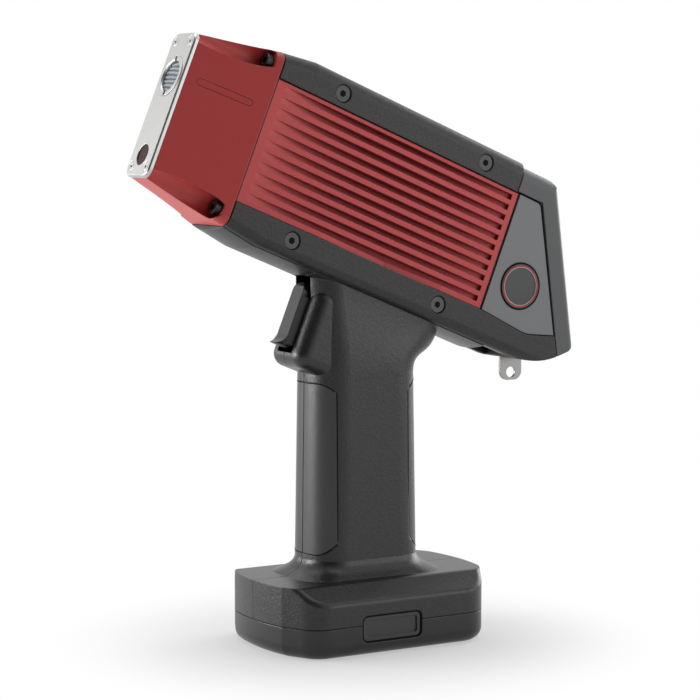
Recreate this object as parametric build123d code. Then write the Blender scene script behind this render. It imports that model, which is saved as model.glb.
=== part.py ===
from build123d import *
import os
from math import cos, radians, sin, tan

# Handheld X-ray fluorescence analyzer, millimetres.
# World frame: X runs from the nose (-X) to the display (+X), Z is up, and the
# origin is the middle of the flat battery foot that the instrument stands on.
# Head frame: the measuring head is modelled level, X back from the seam
# between nose and body, Z up from the top edge of the heat sink, and is then
# tilted nose up and set on the handle.

# ---- Stance ----
head_tilt = 22.1
head_x = -46.2
head_z = 246.8

# ---- Fits ----
seam_gap = 0.3
fit_gap = 0.2
screw_gap = 0.05
slide_gap = 0.5

# ---- Head shell ----
body_half_width = 18.2
body_wall = 2.5
sink_length = 133.0
sink_height = 55.5
top_rail_height = 13.9
bottom_rail_height = 13.6
rail_top_radius = 6.0
rail_bottom_radius = 4.5
front_taper_length = 16.0
front_top_drop = 2.4
front_bottom_rise = 2.2

# ---- Rear housing ----
rear_seam_lead = 2.0
rear_step = 1.5
rear_top_length = 19.9
rear_lean = 29.2
rear_top_radius = 10.0
rear_tail_run = 37.6
rear_tail_rise = 39.5
rear_tail_radius = 36.0
rear_corner_radius = 6.0
rear_part_gap = 0.5
rear_side_radius = 3.5
panel_top_length = 12.6
rear_cavity_half_width = 13.0

# ---- Heat sinks ----
sink_thickness = 8.4
sink_setback = 1.1
slot_count = 11
slot_pitch = 4.83
slot_width = 2.6
slot_front = 4.5
slot_rear_margin = 3.2
slot_top_margin = 1.9
slot_depth = 6.6
slot_rear_depth = 2.4
dip_front = 45.0
dip_valley = 80.0
dip_rear_margin = 23.5
dip_depth = 3.6

# ---- Side screws ----
side_screw_front = 31.1
side_screw_rear_margin = 22.5
side_screw_rail_offset = 5.8
side_screw_head_diameter = 7.4
side_screw_head_height = 1.8
side_screw_diameter = 4.0
side_screw_length = 11.0
side_screw_recess = 0.5
side_boss_diameter = 10.0
hex_socket_width = 2.6
hex_socket_depth = 1.2

# ---- Side panels and badges ----
panel_thickness = 1.6
panel_setback = 0.5
panel_corner_radius = 3.0
panel_bottom_sag = 1.7
panel_tail_length = 27.0
panel_tail_rise = 2.3
panel_tail_radius = 16.0
badge_diameter = 21.0
badge_rim = 1.0
badge_thickness = 1.0
badge_proud = 0.3
badge_setback = 16.0
badge_h = -38.5

# ---- Nose ----
gasket_thickness = 0.6
gasket_inset = 0.6
nose_length = 36.7
nose_front_half_width = 10.4
nose_front_top = 4.3
nose_front_bottom = -60.1
nose_wall = 2.6
nose_front_radius = 4.0
nose_screw_y = 12.6
nose_screw_h_top = 5.2
nose_screw_h_bottom = -60.6
nose_screw_head_diameter = 6.4
nose_screw_head_height = 3.2
nose_screw_diameter = 4.0
nose_screw_length = 14.0
nose_screw_seat = 3.8
nose_scoop_diameter = 10.4
nose_scoop_wall = 1.0

# ---- Status lights ----
light_length = 25.0
light_width = 2.7
light_thickness = 1.0
light_s = -20.0
light_h = -14.7

# ---- Front plate and measuring window ----
plate_thickness = 2.0
plate_bevel = 0.6
window_y = 0.0
window_h = -15.2
window_ring_diameter = 18.0
window_opening = 13.4
window_ring_thickness = 1.2
window_ring_proud = 0.3
spanner_notch = 1.6
film_thickness = 0.3
grid_thickness = 0.6
grid_opening = 1.6
grid_spacing = 2.1
camera_y = 0.0
camera_h = -50.4
camera_opening = 9.4
camera_lens_thickness = 1.2
camera_lens_gap = 0.1
camera_barrel_diameter = 11.0
camera_barrel_length = 9.0
camera_board_size = 15.0
camera_board_thickness = 1.6
plate_screw_y = 6.7
plate_screw_h_top = 0.4
plate_screw_h_bottom = -55.6
plate_screw_head = 4.6
plate_screw_diameter = 2.5
plate_screw_length = 6.0

# ---- Handle ----
handle_x = 1.6
handle_length = 54.4
handle_width = 33.9
handle_radius = 14.0
handle_wall = 2.6
handle_foot_z = 38.0
handle_neck_z = 117.0
handle_neck_taper = 2.2
neck_top_offset = 6.1
neck_top_growth = 18.6
crown_height = 2.2
crown_half_width = 14.2
crown_edge = 0.3
saddle_front = 49.0
saddle_rear_run = 10.0
saddle_half_width = 14.4

# ---- Grip shell screws ----
grip_boss = 7.0
grip_screw_diameter = 3.0
grip_screw_head = 5.6
grip_screw_head_height = 2.2
grip_screw_length = 14.0
grip_screw_seat = 4.0
grip_screw_reach = 14.0
grip_screw_front_z = 104.0
grip_screw_rear_z = 108.0
base_screw_front = 42.0
base_screw_rear = 38.0
base_screw_rise = 5.5
base_boss_reach = 20.0

# ---- Grip pads ----
pad_thickness = 1.6
pad_bottom = 40.5
pad_top = 115.5
front_pad_x = -16.8
rear_pad_x = 19.5
pad_corner_radius = 7.0

# ---- Trigger ----
trigger_half_width = 5.8
trigger_pad_half_width = 4.6
trigger_pad_depth = 4.0
trigger_face = 51.5
trigger_top = -73.1
trigger_shoulder = -79.2
trigger_bottom = -102.8
trigger_lip = 3.6
trigger_lip_height = 7.0
trigger_depth = 7.5
trigger_pin_s = 61.5
trigger_pin_h = -78.0
trigger_pin_diameter = 3.0
trigger_barrel_diameter = 6.6
trigger_travel = 8.0
trigger_switch_height = 8.0
collar_half_width = 13.6
collar_front = 55.2
collar_rear = 78.0
collar_top = -73.2
collar_bottom = -109.4
collar_radius = 5.8
trigger_slot_back = 68.2
trigger_spring_diameter = 4.4
trigger_spring_wire = 0.6

# ---- Base and battery ----
base_middle_x = 2.8
base_half_length = 53.0
base_half_width = 37.3
base_end_bow = 2.4
base_end_half_width = 21.0
base_corner_cut = 10.6
base_end_radius = 4.0
base_seam_z = 13.7
base_top_z = 30.7
base_corner_radius = 13.0
base_chamfer_width = 10.0
base_chamfer_height = 6.7
base_edge_radius = 1.4
base_shoulder_radius = 3.0
base_wall = 3.0
battery_bottom_radius = 6.0
battery_wall = 2.0
stem_length = 40.6
stem_width = 21.4
stem_top = 92.0
stem_radius = 9.0
cell_diameter = 18.2
cell_length = 65.0
contact_size = 12.0
contact_height = 3.0

# ---- Port bay ----
port_bay_setback = 11.0
port_bay_length = 17.5
port_bay_half_width = 10.5
port_bay_depth = 6.5
port_plate_thickness = 1.2
socket_length = 6.8
socket_width = 5.6
socket_wall = 0.6
socket_pitch = 8.0

# ---- Latches ----
latch_x = -2.0
latch_length = 29.8
latch_bottom = 6.1
latch_top = 17.5
latch_radius = 3.0
latch_thickness = 4.0
latch_travel = 2.0
latch_inset = 0.6
latch_pocket_spare = 1.2
latch_spring_diameter = 4.0
latch_spring_wire = 0.6

# ---- Lanyard tab ----
tab_setback = 36.02
tab_hole_z = 114.5
tab_hole_diameter = 5.0
tab_width = 11.7
tab_bottom = 110.9
tab_top = 127.0
tab_thickness = 1.2

# ---- Display end ----
display_length = 46.0
display_width = 30.0
display_offset = 29.0
display_glass_thickness = 1.2
display_module_thickness = 4.0
key_offset = 58.5
key_spacing = 8.4
key_diameter = 6.6
key_height = 3.6
key_proud = 0.5
key_travel = 0.8
key_board_length = 14.0
key_board_width = 25.4

# ---- Inside the head ----
chassis_thickness = 2.4
chassis_front = -20.0
chassis_rear_margin = 5.0
chassis_half_width = 8.2
tube_diameter = 13.0
tube_front = -20.0
tube_length = 70.0
tube_h = -19.0
tube_snout_diameter = 8.0
tube_snout_length = 7.0
tube_support_front = 12.0
tube_support_rear = 44.0
tube_support_thickness = 4.0
supply_front = 66.0
supply_length = 56.0
supply_height = 30.0
supply_half_width = 7.6
board_thickness = 1.6
board_front = 5.0
board_length = 121.0
detector_s = -20.0
detector_h = -36.0
detector_diameter = 12.0
detector_length = 9.0
detector_stand_gap = 3.0
detector_stand_length = 11.0
shutter_s = -34.7
shutter_thickness = 1.2
shutter_half_width = 7.1
shutter_height = 15.0
shutter_travel = 15.5
shutter_rail_width = 1.3

rear_seam = sink_length - rear_seam_lead
rear_strip_start = sink_length + panel_top_length
dip_rear = sink_length - dip_rear_margin
side_screw_rear = sink_length - side_screw_rear_margin
badge_s = sink_length + badge_setback
saddle_rear = sink_length + saddle_rear_run
port_bay_front = sink_length + port_bay_setback
chassis_rear = sink_length - chassis_rear_margin
sink_bottom = -sink_height
rail_top = top_rail_height
rail_bottom = sink_bottom - bottom_rail_height
sink_half_width = body_half_width - sink_setback
head = Location((head_x, 0, head_z), (0, head_tilt, 0))
rear_slope = tan(radians(rear_lean))
rear_top = rail_top - rear_step
plate_front = -gasket_thickness - nose_length - plate_thickness
plate_back = plate_front + plate_thickness


def in_head(s, h):
    """World X and Z of a point of the head frame."""
    tilt = radians(head_tilt)
    x = head_x + s * cos(tilt) + h * sin(tilt)
    z = head_z - s * sin(tilt) + h * cos(tilt)
    return x, z


tab_x = in_head(sink_length + tab_setback, rail_bottom)[0]


def cylinder_y(radius, y_from, y_to, x, z):
    """Cylinder along Y between two stations."""
    middle = (y_from + y_to) / 2
    return Pos(x, middle, z) * Rot(90, 0, 0) * Cylinder(radius, abs(y_to - y_from))


def cylinder_x(radius, x_from, x_to, y, z):
    """Cylinder along X between two stations."""
    middle = (x_from + x_to) / 2
    return Pos(middle, y, z) * Rot(0, 90, 0) * Cylinder(radius, abs(x_to - x_from))


def slab(x_from, x_to, y_from, y_to, z_from, z_to):
    """Plain block between two corners."""
    size = (x_to - x_from, y_to - y_from, z_to - z_from)
    centre = ((x_from + x_to) / 2, (y_from + y_to) / 2, (z_from + z_to) / 2)
    return Pos(*centre) * Box(*size)


def side_prism(outline, half_width):
    """A side view outline made into a solid, symmetrical about the mid plane."""
    return extrude(Plane.XZ * outline, half_width, both=True)


def left_of(shape):
    """The half of a shape on the left of the mid plane."""
    return shape & slab(-400, 400, -200, 0, -200, 500)


def right_of(shape):
    """The half of a shape on the right of the mid plane."""
    return shape & slab(-400, 400, 0, 200, -200, 500)


def cross_section(s, half_width, top, bottom, top_radius, bottom_radius):
    """Rounded section across the head at station s."""
    across = Plane(origin=(s, 0, 0), x_dir=(0, 1, 0), z_dir=(1, 0, 0))
    corners = [(-half_width, bottom), (half_width, bottom), (half_width, top), (-half_width, top)]
    outline = Polygon(*corners, align=None)
    outline = fillet(outline.vertices().sort_by(Axis.Y)[2:], top_radius)
    outline = fillet(outline.vertices().sort_by(Axis.Y)[:2], bottom_radius)
    return across * outline


def rail_section(s, inset, top_drop, bottom_rise):
    """Section of the two side rails, shrunk evenly by inset."""
    return cross_section(
        s,
        body_half_width - inset,
        rail_top - top_drop - inset,
        rail_bottom + bottom_rise + inset,
        rail_top_radius - inset,
        rail_bottom_radius - inset,
    )


def head_front(inset):
    """The head from the nose seam to the rear seam."""
    start = rail_section(0, inset, front_top_drop, front_bottom_rise)
    full = rail_section(front_taper_length, inset, 0, 0)
    return loft([start, full]) + extrude(full, rear_seam - front_taper_length)


def rear_outline(inset):
    """Side view of the head behind the rear seam, shrunk evenly by inset."""
    top = rear_top - inset
    bottom = rail_bottom + inset
    back_shift = inset / cos(radians(rear_lean))
    top_back = rear_seam + rear_top_length + inset * rear_slope - back_shift
    rise = tan(radians(rear_tail_rise))
    tail = sink_length + rear_tail_run - inset * tan(radians(rear_tail_rise / 2))
    run = (top_back + (top - bottom) * rear_slope - tail) / (1 + rise * rear_slope)
    corners = [
        (rear_seam, bottom),
        (tail, bottom),
        (tail + run, bottom + run * rise),
        (top_back, top),
        (rear_seam, top),
    ]
    outline = Polygon(*corners, align=None)
    outline = fillet(outline.vertices().sort_by(Axis.X)[-1], max(rear_corner_radius - inset, 1.0))
    low = outline.vertices().sort_by(Axis.Y)[:2].sort_by(Axis.X)[-1]
    outline = fillet(low, rear_tail_radius - inset)
    upper = outline.vertices().sort_by(Axis.Y)[-2:].sort_by(Axis.X)[-1]
    return fillet(upper, rear_top_radius - inset)


def rear_rounding():
    """Block whose rear corners are rounded along the leaning display face."""
    reach = 120
    half = body_half_width
    corners = [(-reach, -half), (0, -half), (0, half), (-reach, half)]
    plan = fillet(Polygon(*corners, align=None).vertices().sort_by(Axis.X)[2:], rear_side_radius)
    block = extrude(plan, reach, both=True)
    face_top = Location((rear_seam + rear_top_length, 0, rear_top), (0, -rear_lean, 0))
    return face_top * block


def rear_blank():
    """Outside of the head behind the rear seam."""
    run = rear_top_length + (rear_top - rail_bottom) * rear_slope
    section = rail_section(rear_seam, 0, rear_step, 0)
    return side_prism(rear_outline(0), body_half_width) & extrude(section, run) & rear_rounding()


def rear_strip_region(shift):
    """Everything behind the seam that separates side frames and rear housing."""
    drop = 90
    corners = [
        (rear_seam + shift, 40),
        (rear_seam + shift, shift),
        (rear_strip_start + shift, shift),
        (rear_strip_start + shift + drop * rear_slope, -drop),
        (300, -drop),
        (300, 40),
    ]
    return side_prism(Polygon(*corners, align=None), 60)


def side_screw_spots():
    """Station and height of the four screws on each side."""
    heights = (side_screw_rail_offset, sink_bottom - side_screw_rail_offset)
    return [(s, h) for s in (side_screw_front, side_screw_rear) for h in heights]


def panel_outline(gap):
    """Smooth side plate between heat sink and rear strip."""
    tail_h = sink_bottom + panel_tail_rise
    bottom_back = rear_strip_start - tail_h * rear_slope
    corners = [
        (sink_length + gap, -gap),
        (rear_strip_start - gap, -gap),
        (bottom_back - gap, tail_h + gap),
        (sink_length + panel_tail_length, sink_bottom - panel_bottom_sag - 0.6 + gap),
        (sink_length + gap, sink_bottom + gap),
    ]
    outline = Polygon(*corners, align=None)
    outline = fillet(outline.vertices().sort_by(Axis.Y)[0], panel_tail_radius)
    upper = outline.vertices().sort_by(Axis.Y)[-2:].sort_by(Axis.X)[-1]
    return fillet(upper, panel_corner_radius)


def crown_section(s, rise):
    """Shallow bulge of the underside at station s."""
    across = Plane(origin=(s, 0, 0), x_dir=(0, 1, 0), z_dir=(1, 0, 0))
    low = rail_bottom + rise
    half = crown_half_width
    bulge = ThreePointArc((-half, low - crown_edge), (0, low - crown_height), (half, low - crown_edge))
    rest = Polyline((half, low - crown_edge), (half, low), (-half, low), (-half, low - crown_edge))
    return across * make_face(bulge + rest)


def front_crown():
    """Crowned underside between the nose and the handle saddle."""
    full = crown_section(front_taper_length, 0)
    taper = loft([crown_section(0, front_bottom_rise), full])
    return taper + extrude(full, saddle_front - seam_gap - front_taper_length)


def side_frames():
    """Both clamshell frames, still joined at the mid plane."""
    shell = head_front(0) + rear_blank() - rear_strip_region(0)
    shell = shell + front_crown()
    hollow = head_front(body_wall) + side_prism(rear_outline(body_wall), rear_cavity_half_width)
    window = slab(-1, sink_length, -60, 60, sink_bottom, 0)
    panel_depth = panel_setback + panel_thickness
    panel_block = side_prism(panel_outline(0), 60)
    panel_core = slab(0, 300, panel_depth - body_half_width, body_half_width - panel_depth, -100, 50)
    shell = shell - hollow - window - (panel_block - panel_core)
    reach = body_half_width - body_wall + 0.5
    for s, h in side_screw_spots():
        shell = shell + cylinder_y(side_boss_diameter / 2, -reach, reach, s, h)
    seat = body_half_width - side_screw_recess - side_screw_head_height
    for s, h in side_screw_spots():
        for side in (-1, 1):
            recess = side_screw_head_diameter / 2 + seam_gap
            shell = shell - cylinder_y(recess, side * seat, side * 30, s, h)
            bore = side_screw_diameter / 2 + screw_gap
            shell = shell - cylinder_y(bore, side * (seat - side_screw_length), side * 30, s, h)
    for y, h in nose_screw_spots():
        boss = cylinder_x(side_screw_diameter, 0, nose_screw_length, y, h)
        bore = cylinder_x(nose_screw_diameter / 2 + screw_gap, -1, nose_screw_length - nose_screw_seat, y, h)
        shell = shell + (boss & (head_front(0))) - bore
    return shell + frame_lugs() - port_bay() - tab_slot()


def frame_lugs():
    """Lugs that tie the top rail to the panel wall, tucked inside the rear housing."""
    outer = rear_cavity_half_width - fit_gap
    inner = outer - body_wall
    wall = body_half_width - body_wall + 0.4
    behind = sink_length + 1
    end = rear_strip_start - 1
    lugs = []
    for side in (-1, 1):
        ys = sorted((side * inner, side * outer))
        rib = sorted((side * inner, side * wall))
        root = sorted((side * inner, side * (rear_cavity_half_width + 1)))
        lug = slab(rear_seam - 6, rear_seam - 0.1, *rib, 1, 8)
        lug = lug + slab(rear_seam - 6, end, *ys, 1, 8)
        lug = lug + slab(behind, end, *ys, -12, 3) + slab(behind, end, *root, -12, -0.5)
        lugs.append(lug)
    return lugs[0] + lugs[1]


def heat_sink():
    """Left finned plate: ramped slots between fins whose crests dip to a valley."""
    back = -(sink_half_width - sink_thickness)
    face = -sink_half_width
    plate = slab(seam_gap, sink_length - seam_gap, face, back, sink_bottom + seam_gap, -seam_gap)
    fins_top = -slot_top_margin
    fins_bottom = fins_top - (slot_count - 1) * slot_pitch - slot_width
    dip = Polygon((dip_front, face), (dip_valley, face + dip_depth), (dip_rear, face), align=None)
    plate = plate - Pos(0, 0, fins_bottom) * extrude(dip, fins_top - fins_bottom)
    slot_rear = sink_length - slot_rear_margin
    floor = ThreePointArc(
        (slot_front, face),
        ((slot_front + slot_rear) / 2 + 6, face + slot_depth),
        (slot_rear, face + slot_rear_depth),
    )
    mouth = Polyline((slot_rear, face + slot_rear_depth), (slot_rear, face - 1), (slot_front, face - 1), (slot_front, face))
    cutter = extrude(make_face(floor + mouth), slot_width)
    for index in range(slot_count):
        plate = plate - Pos(0, 0, fins_top - slot_width - index * slot_pitch) * cutter
    return plate


def side_screws(side):
    """Four socket screws in their dished recesses on one side."""
    seat = body_half_width - side_screw_recess - side_screw_head_height
    screws = []
    for s, h in side_screw_spots():
        head_solid = cylinder_y(side_screw_head_diameter / 2, side * seat, side * (seat + side_screw_head_height), s, h)
        shank = cylinder_y(side_screw_diameter / 2, side * (seat - side_screw_length + 1), side * seat, s, h)
        top = seat + side_screw_head_height
        socket = extrude(RegularPolygon(hex_socket_width / 2, 6), hex_socket_depth * 2, both=True)
        socket = Pos(s, side * top, h) * Rot(90, 0, 0) * socket
        screws.append(head_solid + shank - (socket & cylinder_y(5, side * (top - hex_socket_depth), side * (top + 5), s, h)))
    return screws


def side_panel():
    """Left smooth plate with a round seat for the badge."""
    face = body_half_width - panel_setback
    plate = side_prism(panel_outline(seam_gap), face) & slab(0, 300, -face, panel_thickness - face, -100, 50)
    seat_depth = badge_thickness - badge_proud
    return plate - cylinder_y(badge_diameter / 2 + fit_gap, -face - 1, seat_depth - face, badge_s, badge_h)


def badge():
    """Left plain round badge with a raised rim."""
    back = -(body_half_width - panel_setback - badge_thickness + badge_proud)
    disc = cylinder_y(badge_diameter / 2, back, back - badge_thickness, badge_s, badge_h)
    field = badge_diameter / 2 - badge_rim
    return disc - cylinder_y(field, back - badge_thickness + badge_proud, back - 5, badge_s, badge_h)


def nose_blank(inset):
    """Tapering nose between gasket and front plate, shrunk evenly by inset."""
    start = rail_section(0, inset, front_top_drop, front_bottom_rise)
    back = Pos(-gasket_thickness, 0, 0) * start
    radius = max(nose_front_radius - inset, 1.0)
    front = cross_section(
        plate_back,
        nose_front_half_width - inset,
        nose_front_top - inset,
        nose_front_bottom + inset,
        radius,
        radius,
    )
    return loft([front, back])


def nose_screw_spots():
    """Across and height places of the four nose screws."""
    return [(y, h) for y in (-nose_screw_y, nose_screw_y) for h in (nose_screw_h_top, nose_screw_h_bottom)]


def light_prism(gap):
    """Long round-ended opening through both nose flanks."""
    outline = Pos(light_s, light_h) * SlotOverall(light_length + 2 * gap, light_width + 2 * gap)
    return side_prism(outline, 60)


def nose_housing():
    """Red nose shell with four screw scoops and two light seats."""
    shell = nose_blank(0) - nose_blank(nose_wall)
    for y, h in nose_screw_spots():
        post = cylinder_x(nose_scoop_diameter / 2 + nose_scoop_wall, plate_back, -gasket_thickness, y, h)
        shell = shell + (post & nose_blank(0))
    for y, h in nose_screw_spots():
        scoop = cylinder_x(nose_scoop_diameter / 2, plate_back - 1, -nose_screw_seat, y, h)
        bore = cylinder_x(nose_screw_diameter / 2 + screw_gap, -nose_screw_seat - 1, 1, y, h)
        shell = shell - scoop - bore
    for y, h in plate_screw_spots():
        length = plate_screw_length + 1.5
        pillar = cylinder_x(plate_screw_head / 2, plate_back, plate_back + length, y, h)
        bore = cylinder_x(plate_screw_diameter / 2 + screw_gap, plate_back - 1, plate_back + length - 1, y, h)
        shell = shell + (pillar & nose_blank(0)) - bore
    light_seat = (light_prism(fit_gap) & nose_blank(0)) - nose_blank(light_thickness + fit_gap)
    return shell - light_seat


def status_light():
    """Left light pipe, flush with the nose flank."""
    return left_of((light_prism(0) & nose_blank(0)) - nose_blank(light_thickness))


def nose_gasket():
    """Flat seal between nose and side frames."""
    outline = rail_section(0, gasket_inset, front_top_drop, front_bottom_rise)
    opening = rail_section(0, body_wall, front_top_drop, front_bottom_rise)
    ring = extrude(outline, -gasket_thickness) - extrude(opening, -gasket_thickness)
    for y, h in nose_screw_spots():
        pad = cylinder_x(side_screw_diameter, -gasket_thickness, 0, y, h) & extrude(outline, -gasket_thickness)
        ring = ring + pad - cylinder_x(nose_screw_diameter / 2 + screw_gap, -gasket_thickness - 1, 1, y, h)
    return ring


def plate_screw_spots():
    """Across and height places of the four front plate screws."""
    return [(y, h) for y in (-plate_screw_y, plate_screw_y) for h in (plate_screw_h_top, plate_screw_h_bottom)]


def front_plate():
    """Bevelled stainless plate with window, camera and screw openings."""
    outline = cross_section(
        plate_back,
        nose_front_half_width,
        nose_front_top,
        nose_front_bottom,
        nose_front_radius,
        nose_front_radius,
    )
    plate = extrude(outline, -plate_thickness)
    plate = chamfer(plate.faces().sort_by(Axis.X)[0].outer_wire().edges(), plate_bevel)
    opening = cylinder_x(window_opening / 2, plate_front - 1, plate_back + 1, window_y, window_h)
    seat = plate_front + window_ring_thickness - window_ring_proud
    ring_seat = cylinder_x(window_ring_diameter / 2 + screw_gap, plate_front - 1, seat, window_y, window_h)
    camera = cylinder_x(camera_opening / 2, plate_front - 1, plate_back + 1, camera_y, camera_h)
    plate = plate - opening - ring_seat - camera
    for y, h in plate_screw_spots():
        plate = plate - cylinder_x(plate_screw_diameter / 2 + screw_gap, plate_front - 1, plate_back + 1, y, h)
        sink_depth = (plate_screw_head - plate_screw_diameter) / 2
        cone = Cone(plate_screw_head / 2 + screw_gap, plate_screw_diameter / 2 + screw_gap, sink_depth)
        plate = plate - Pos(plate_front + sink_depth / 2, y, h) * Rot(0, 90, 0) * cone
    return plate


def plate_screws():
    """Four flat-head screws flush with the front plate."""
    screws = []
    for y, h in plate_screw_spots():
        sink_depth = (plate_screw_head - plate_screw_diameter) / 2
        cone = Cone(plate_screw_head / 2, plate_screw_diameter / 2, sink_depth)
        screw = Pos(plate_front + sink_depth / 2, y, h) * Rot(0, 90, 0) * cone
        screw = screw + cylinder_x(plate_screw_diameter / 2, plate_front + sink_depth, plate_back + plate_screw_length, y, h)
        socket = Pos(plate_front, y, h) * Rot(0, 90, 0) * extrude(RegularPolygon(0.8, 6), 0.8)
        screws.append(screw - socket)
    return screws


def window_retainer():
    """Threaded ring that clamps the window film, with two spanner notches."""
    front = plate_front - window_ring_proud
    ring = cylinder_x(window_ring_diameter / 2, front, front + window_ring_thickness, window_y, window_h)
    ring = ring - cylinder_x(window_opening / 2, front - 1, front + 5, window_y, window_h)
    ring = chamfer(ring.faces().sort_by(Axis.X)[0].inner_wires()[0].edges(), 0.5)
    middle = (window_ring_diameter + window_opening) / 4
    for side in (-1, 1):
        notch = cylinder_x(spanner_notch / 2, front - 1, front + 0.7, window_y, window_h + side * middle)
        ring = ring - notch
    return ring


def window_film():
    """Thin polymer film over the measuring window."""
    start = plate_front + window_ring_thickness - window_ring_proud
    return cylinder_x(window_opening / 2 - screw_gap, start, start + film_thickness, window_y, window_h)


def window_grid():
    """Fine support grid behind the film."""
    start = plate_front + window_ring_thickness - window_ring_proud + film_thickness
    disc = cylinder_x(window_opening / 2 - screw_gap, start, start + grid_thickness, window_y, window_h)
    across = Plane(origin=(start - 1, window_y, window_h), x_dir=(0, 1, 0), z_dir=(1, 0, 0))
    cells = [place * Rectangle(grid_opening, grid_opening) for place in GridLocations(grid_spacing, grid_spacing, 5, 5)]
    holes = extrude(across * (Sketch() + cells), grid_thickness + 2)
    return disc - (holes & cylinder_x(window_opening / 2 - 1, start - 2, start + 3, window_y, window_h))


def camera_lens():
    """Clear cover of the aiming camera, just below the plate face."""
    start = plate_front + 0.5
    return cylinder_x(camera_opening / 2 - camera_lens_gap, start, start + camera_lens_thickness, camera_y, camera_h)


def camera_module():
    """Camera barrel seated behind the plate, with its board."""
    end = plate_back + camera_barrel_length
    barrel = cylinder_x(camera_barrel_diameter / 2, plate_back, end, camera_y, camera_h)
    bore = cylinder_x(camera_opening / 2 - 1.5, plate_back - 1, end - 2, camera_y, camera_h)
    half = camera_board_size / 2
    board = slab(end, end + camera_board_thickness, camera_y - half, camera_y + half, camera_h - half + 2, camera_h + half)
    return barrel - bore + board


def nose_screws():
    """Four socket screws that pull the nose on to the frames."""
    screws = []
    for y, h in nose_screw_spots():
        front = -nose_screw_seat - nose_screw_head_height
        screw = cylinder_x(nose_screw_head_diameter / 2, front, -nose_screw_seat, y, h)
        end = nose_screw_length - nose_screw_seat - 1
        screw = screw + cylinder_x(nose_screw_diameter / 2, -nose_screw_seat, end, y, h)
        socket = Pos(front, y, h) * Rot(0, 90, 0) * extrude(RegularPolygon(1.6, 6), 2)
        screws.append(screw - socket)
    return screws


def display_place(offset, depth):
    """Location on the leaning display face: offset down it, depth into it."""
    lean = radians(rear_lean)
    s = rear_seam + rear_top_length + offset * sin(lean) - depth * cos(lean)
    h = rear_top - offset * cos(lean) - depth * sin(lean)
    return Location((s, 0, h), (0, 90 - rear_lean, 0))


def display_block(length, width, depth_from, depth_to, offset, radius):
    """Rounded block sunk into the display face between two depths."""
    outline = RectangleRounded(length, width, radius)
    return display_place(offset, depth_to) * extrude(outline, depth_to - depth_from)


def key_offsets():
    """Across places of the three keys under the display."""
    return (-key_spacing, 0, key_spacing)


def key_cylinder(y, radius, depth_from, depth_to):
    """Round key or key hole between two depths below the display face."""
    return display_place(key_offset, depth_to) * Pos(0, y, 0) * extrude(Circle(radius), depth_to - depth_from)


def port_bay():
    """Recess under the rear of the head that holds the sockets."""
    end = port_bay_front + port_bay_length
    half = port_bay_half_width
    return slab(port_bay_front, end, -half, half, rail_bottom - 5, rail_bottom + port_bay_depth)


def rear_housing():
    """Hood that carries the display, the keys and the rear strip."""
    shell = rear_blank() & rear_strip_region(rear_part_gap)
    hollow = side_prism(rear_outline(body_wall), rear_cavity_half_width)
    shell = shell - hollow
    glass = display_block(display_length + 2 * fit_gap, display_width + 2 * fit_gap, -2, display_glass_thickness, display_offset, 2.2)
    opening = display_block(display_length - 4, display_width - 4.6, -2, 8, display_offset, 1.5)
    shell = shell - glass - opening
    for y in key_offsets():
        shell = shell - key_cylinder(y, key_diameter / 2 + seam_gap, -2, 8)
    return shell


def display_glass():
    """Cover glass, flush with the rear face."""
    return display_block(display_length, display_width, 0, display_glass_thickness, display_offset, 2.0)


def display_module():
    """Screen panel behind the glass."""
    start = display_glass_thickness
    screen = display_block(display_length - 4.6, display_width - 5.2, start, start + display_module_thickness, display_offset, 1.2)
    return screen


def key(y):
    """Round push key with a flange behind the wall."""
    cap = key_cylinder(y, key_diameter / 2, -key_proud, body_wall + 0.8)
    flange = key_cylinder(y, key_diameter / 2 + 0.9, body_wall + seam_gap, body_wall + 1.6)
    return cap + flange


def key_board():
    """Switch board that the keys press."""
    start = body_wall + 1.6 + key_travel + 0.3
    return display_block(key_board_length, key_board_width, start, start + board_thickness, key_offset, 1.0)


def tab_slot():
    """Slot in the underside that holds the lanyard tab."""
    half = tab_thickness / 2 + screw_gap
    width = tab_width / 2 + screw_gap
    slot = slab(tab_x - width, tab_x + width, -half, half, tab_bottom, tab_top + screw_gap)
    return head.inverse() * slot


def lanyard_tab():
    """Stamped steel tab with a hole for a wrist strap."""
    outline = Polygon(
        (tab_x - tab_width / 2, tab_bottom),
        (tab_x + tab_width / 2, tab_bottom),
        (tab_x + tab_width / 2, tab_top),
        (tab_x - tab_width / 2, tab_top),
        align=None,
    )
    outline = fillet(outline.vertices().sort_by(Axis.Y)[:2], 4.0)
    return side_prism(outline, tab_thickness / 2) - cylinder_y(tab_hole_diameter / 2, -5, 5, tab_x, tab_hole_z)


def handle_section(z, tilt, growth, widening, inset, shift=0.0):
    """Oval handle section at a height, tilted towards the head."""
    place = Location((handle_x + shift, 0, z), (0, tilt, 0))
    length = handle_length + growth - 2 * inset
    width = handle_width + widening - 2 * inset
    radius = min(handle_radius, handle_width / 2 - 2.5) - inset
    return place * RectangleRounded(length, width, radius)


def handle_grip(inset):
    """Straight, slightly tapering stretch of the handle between foot and neck."""
    foot = handle_section(handle_foot_z, 0, 0, 0, inset)
    neck = handle_section(handle_neck_z, 0, -handle_neck_taper, -handle_neck_taper / 2, inset)
    return loft([foot, neck], ruled=True)


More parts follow.
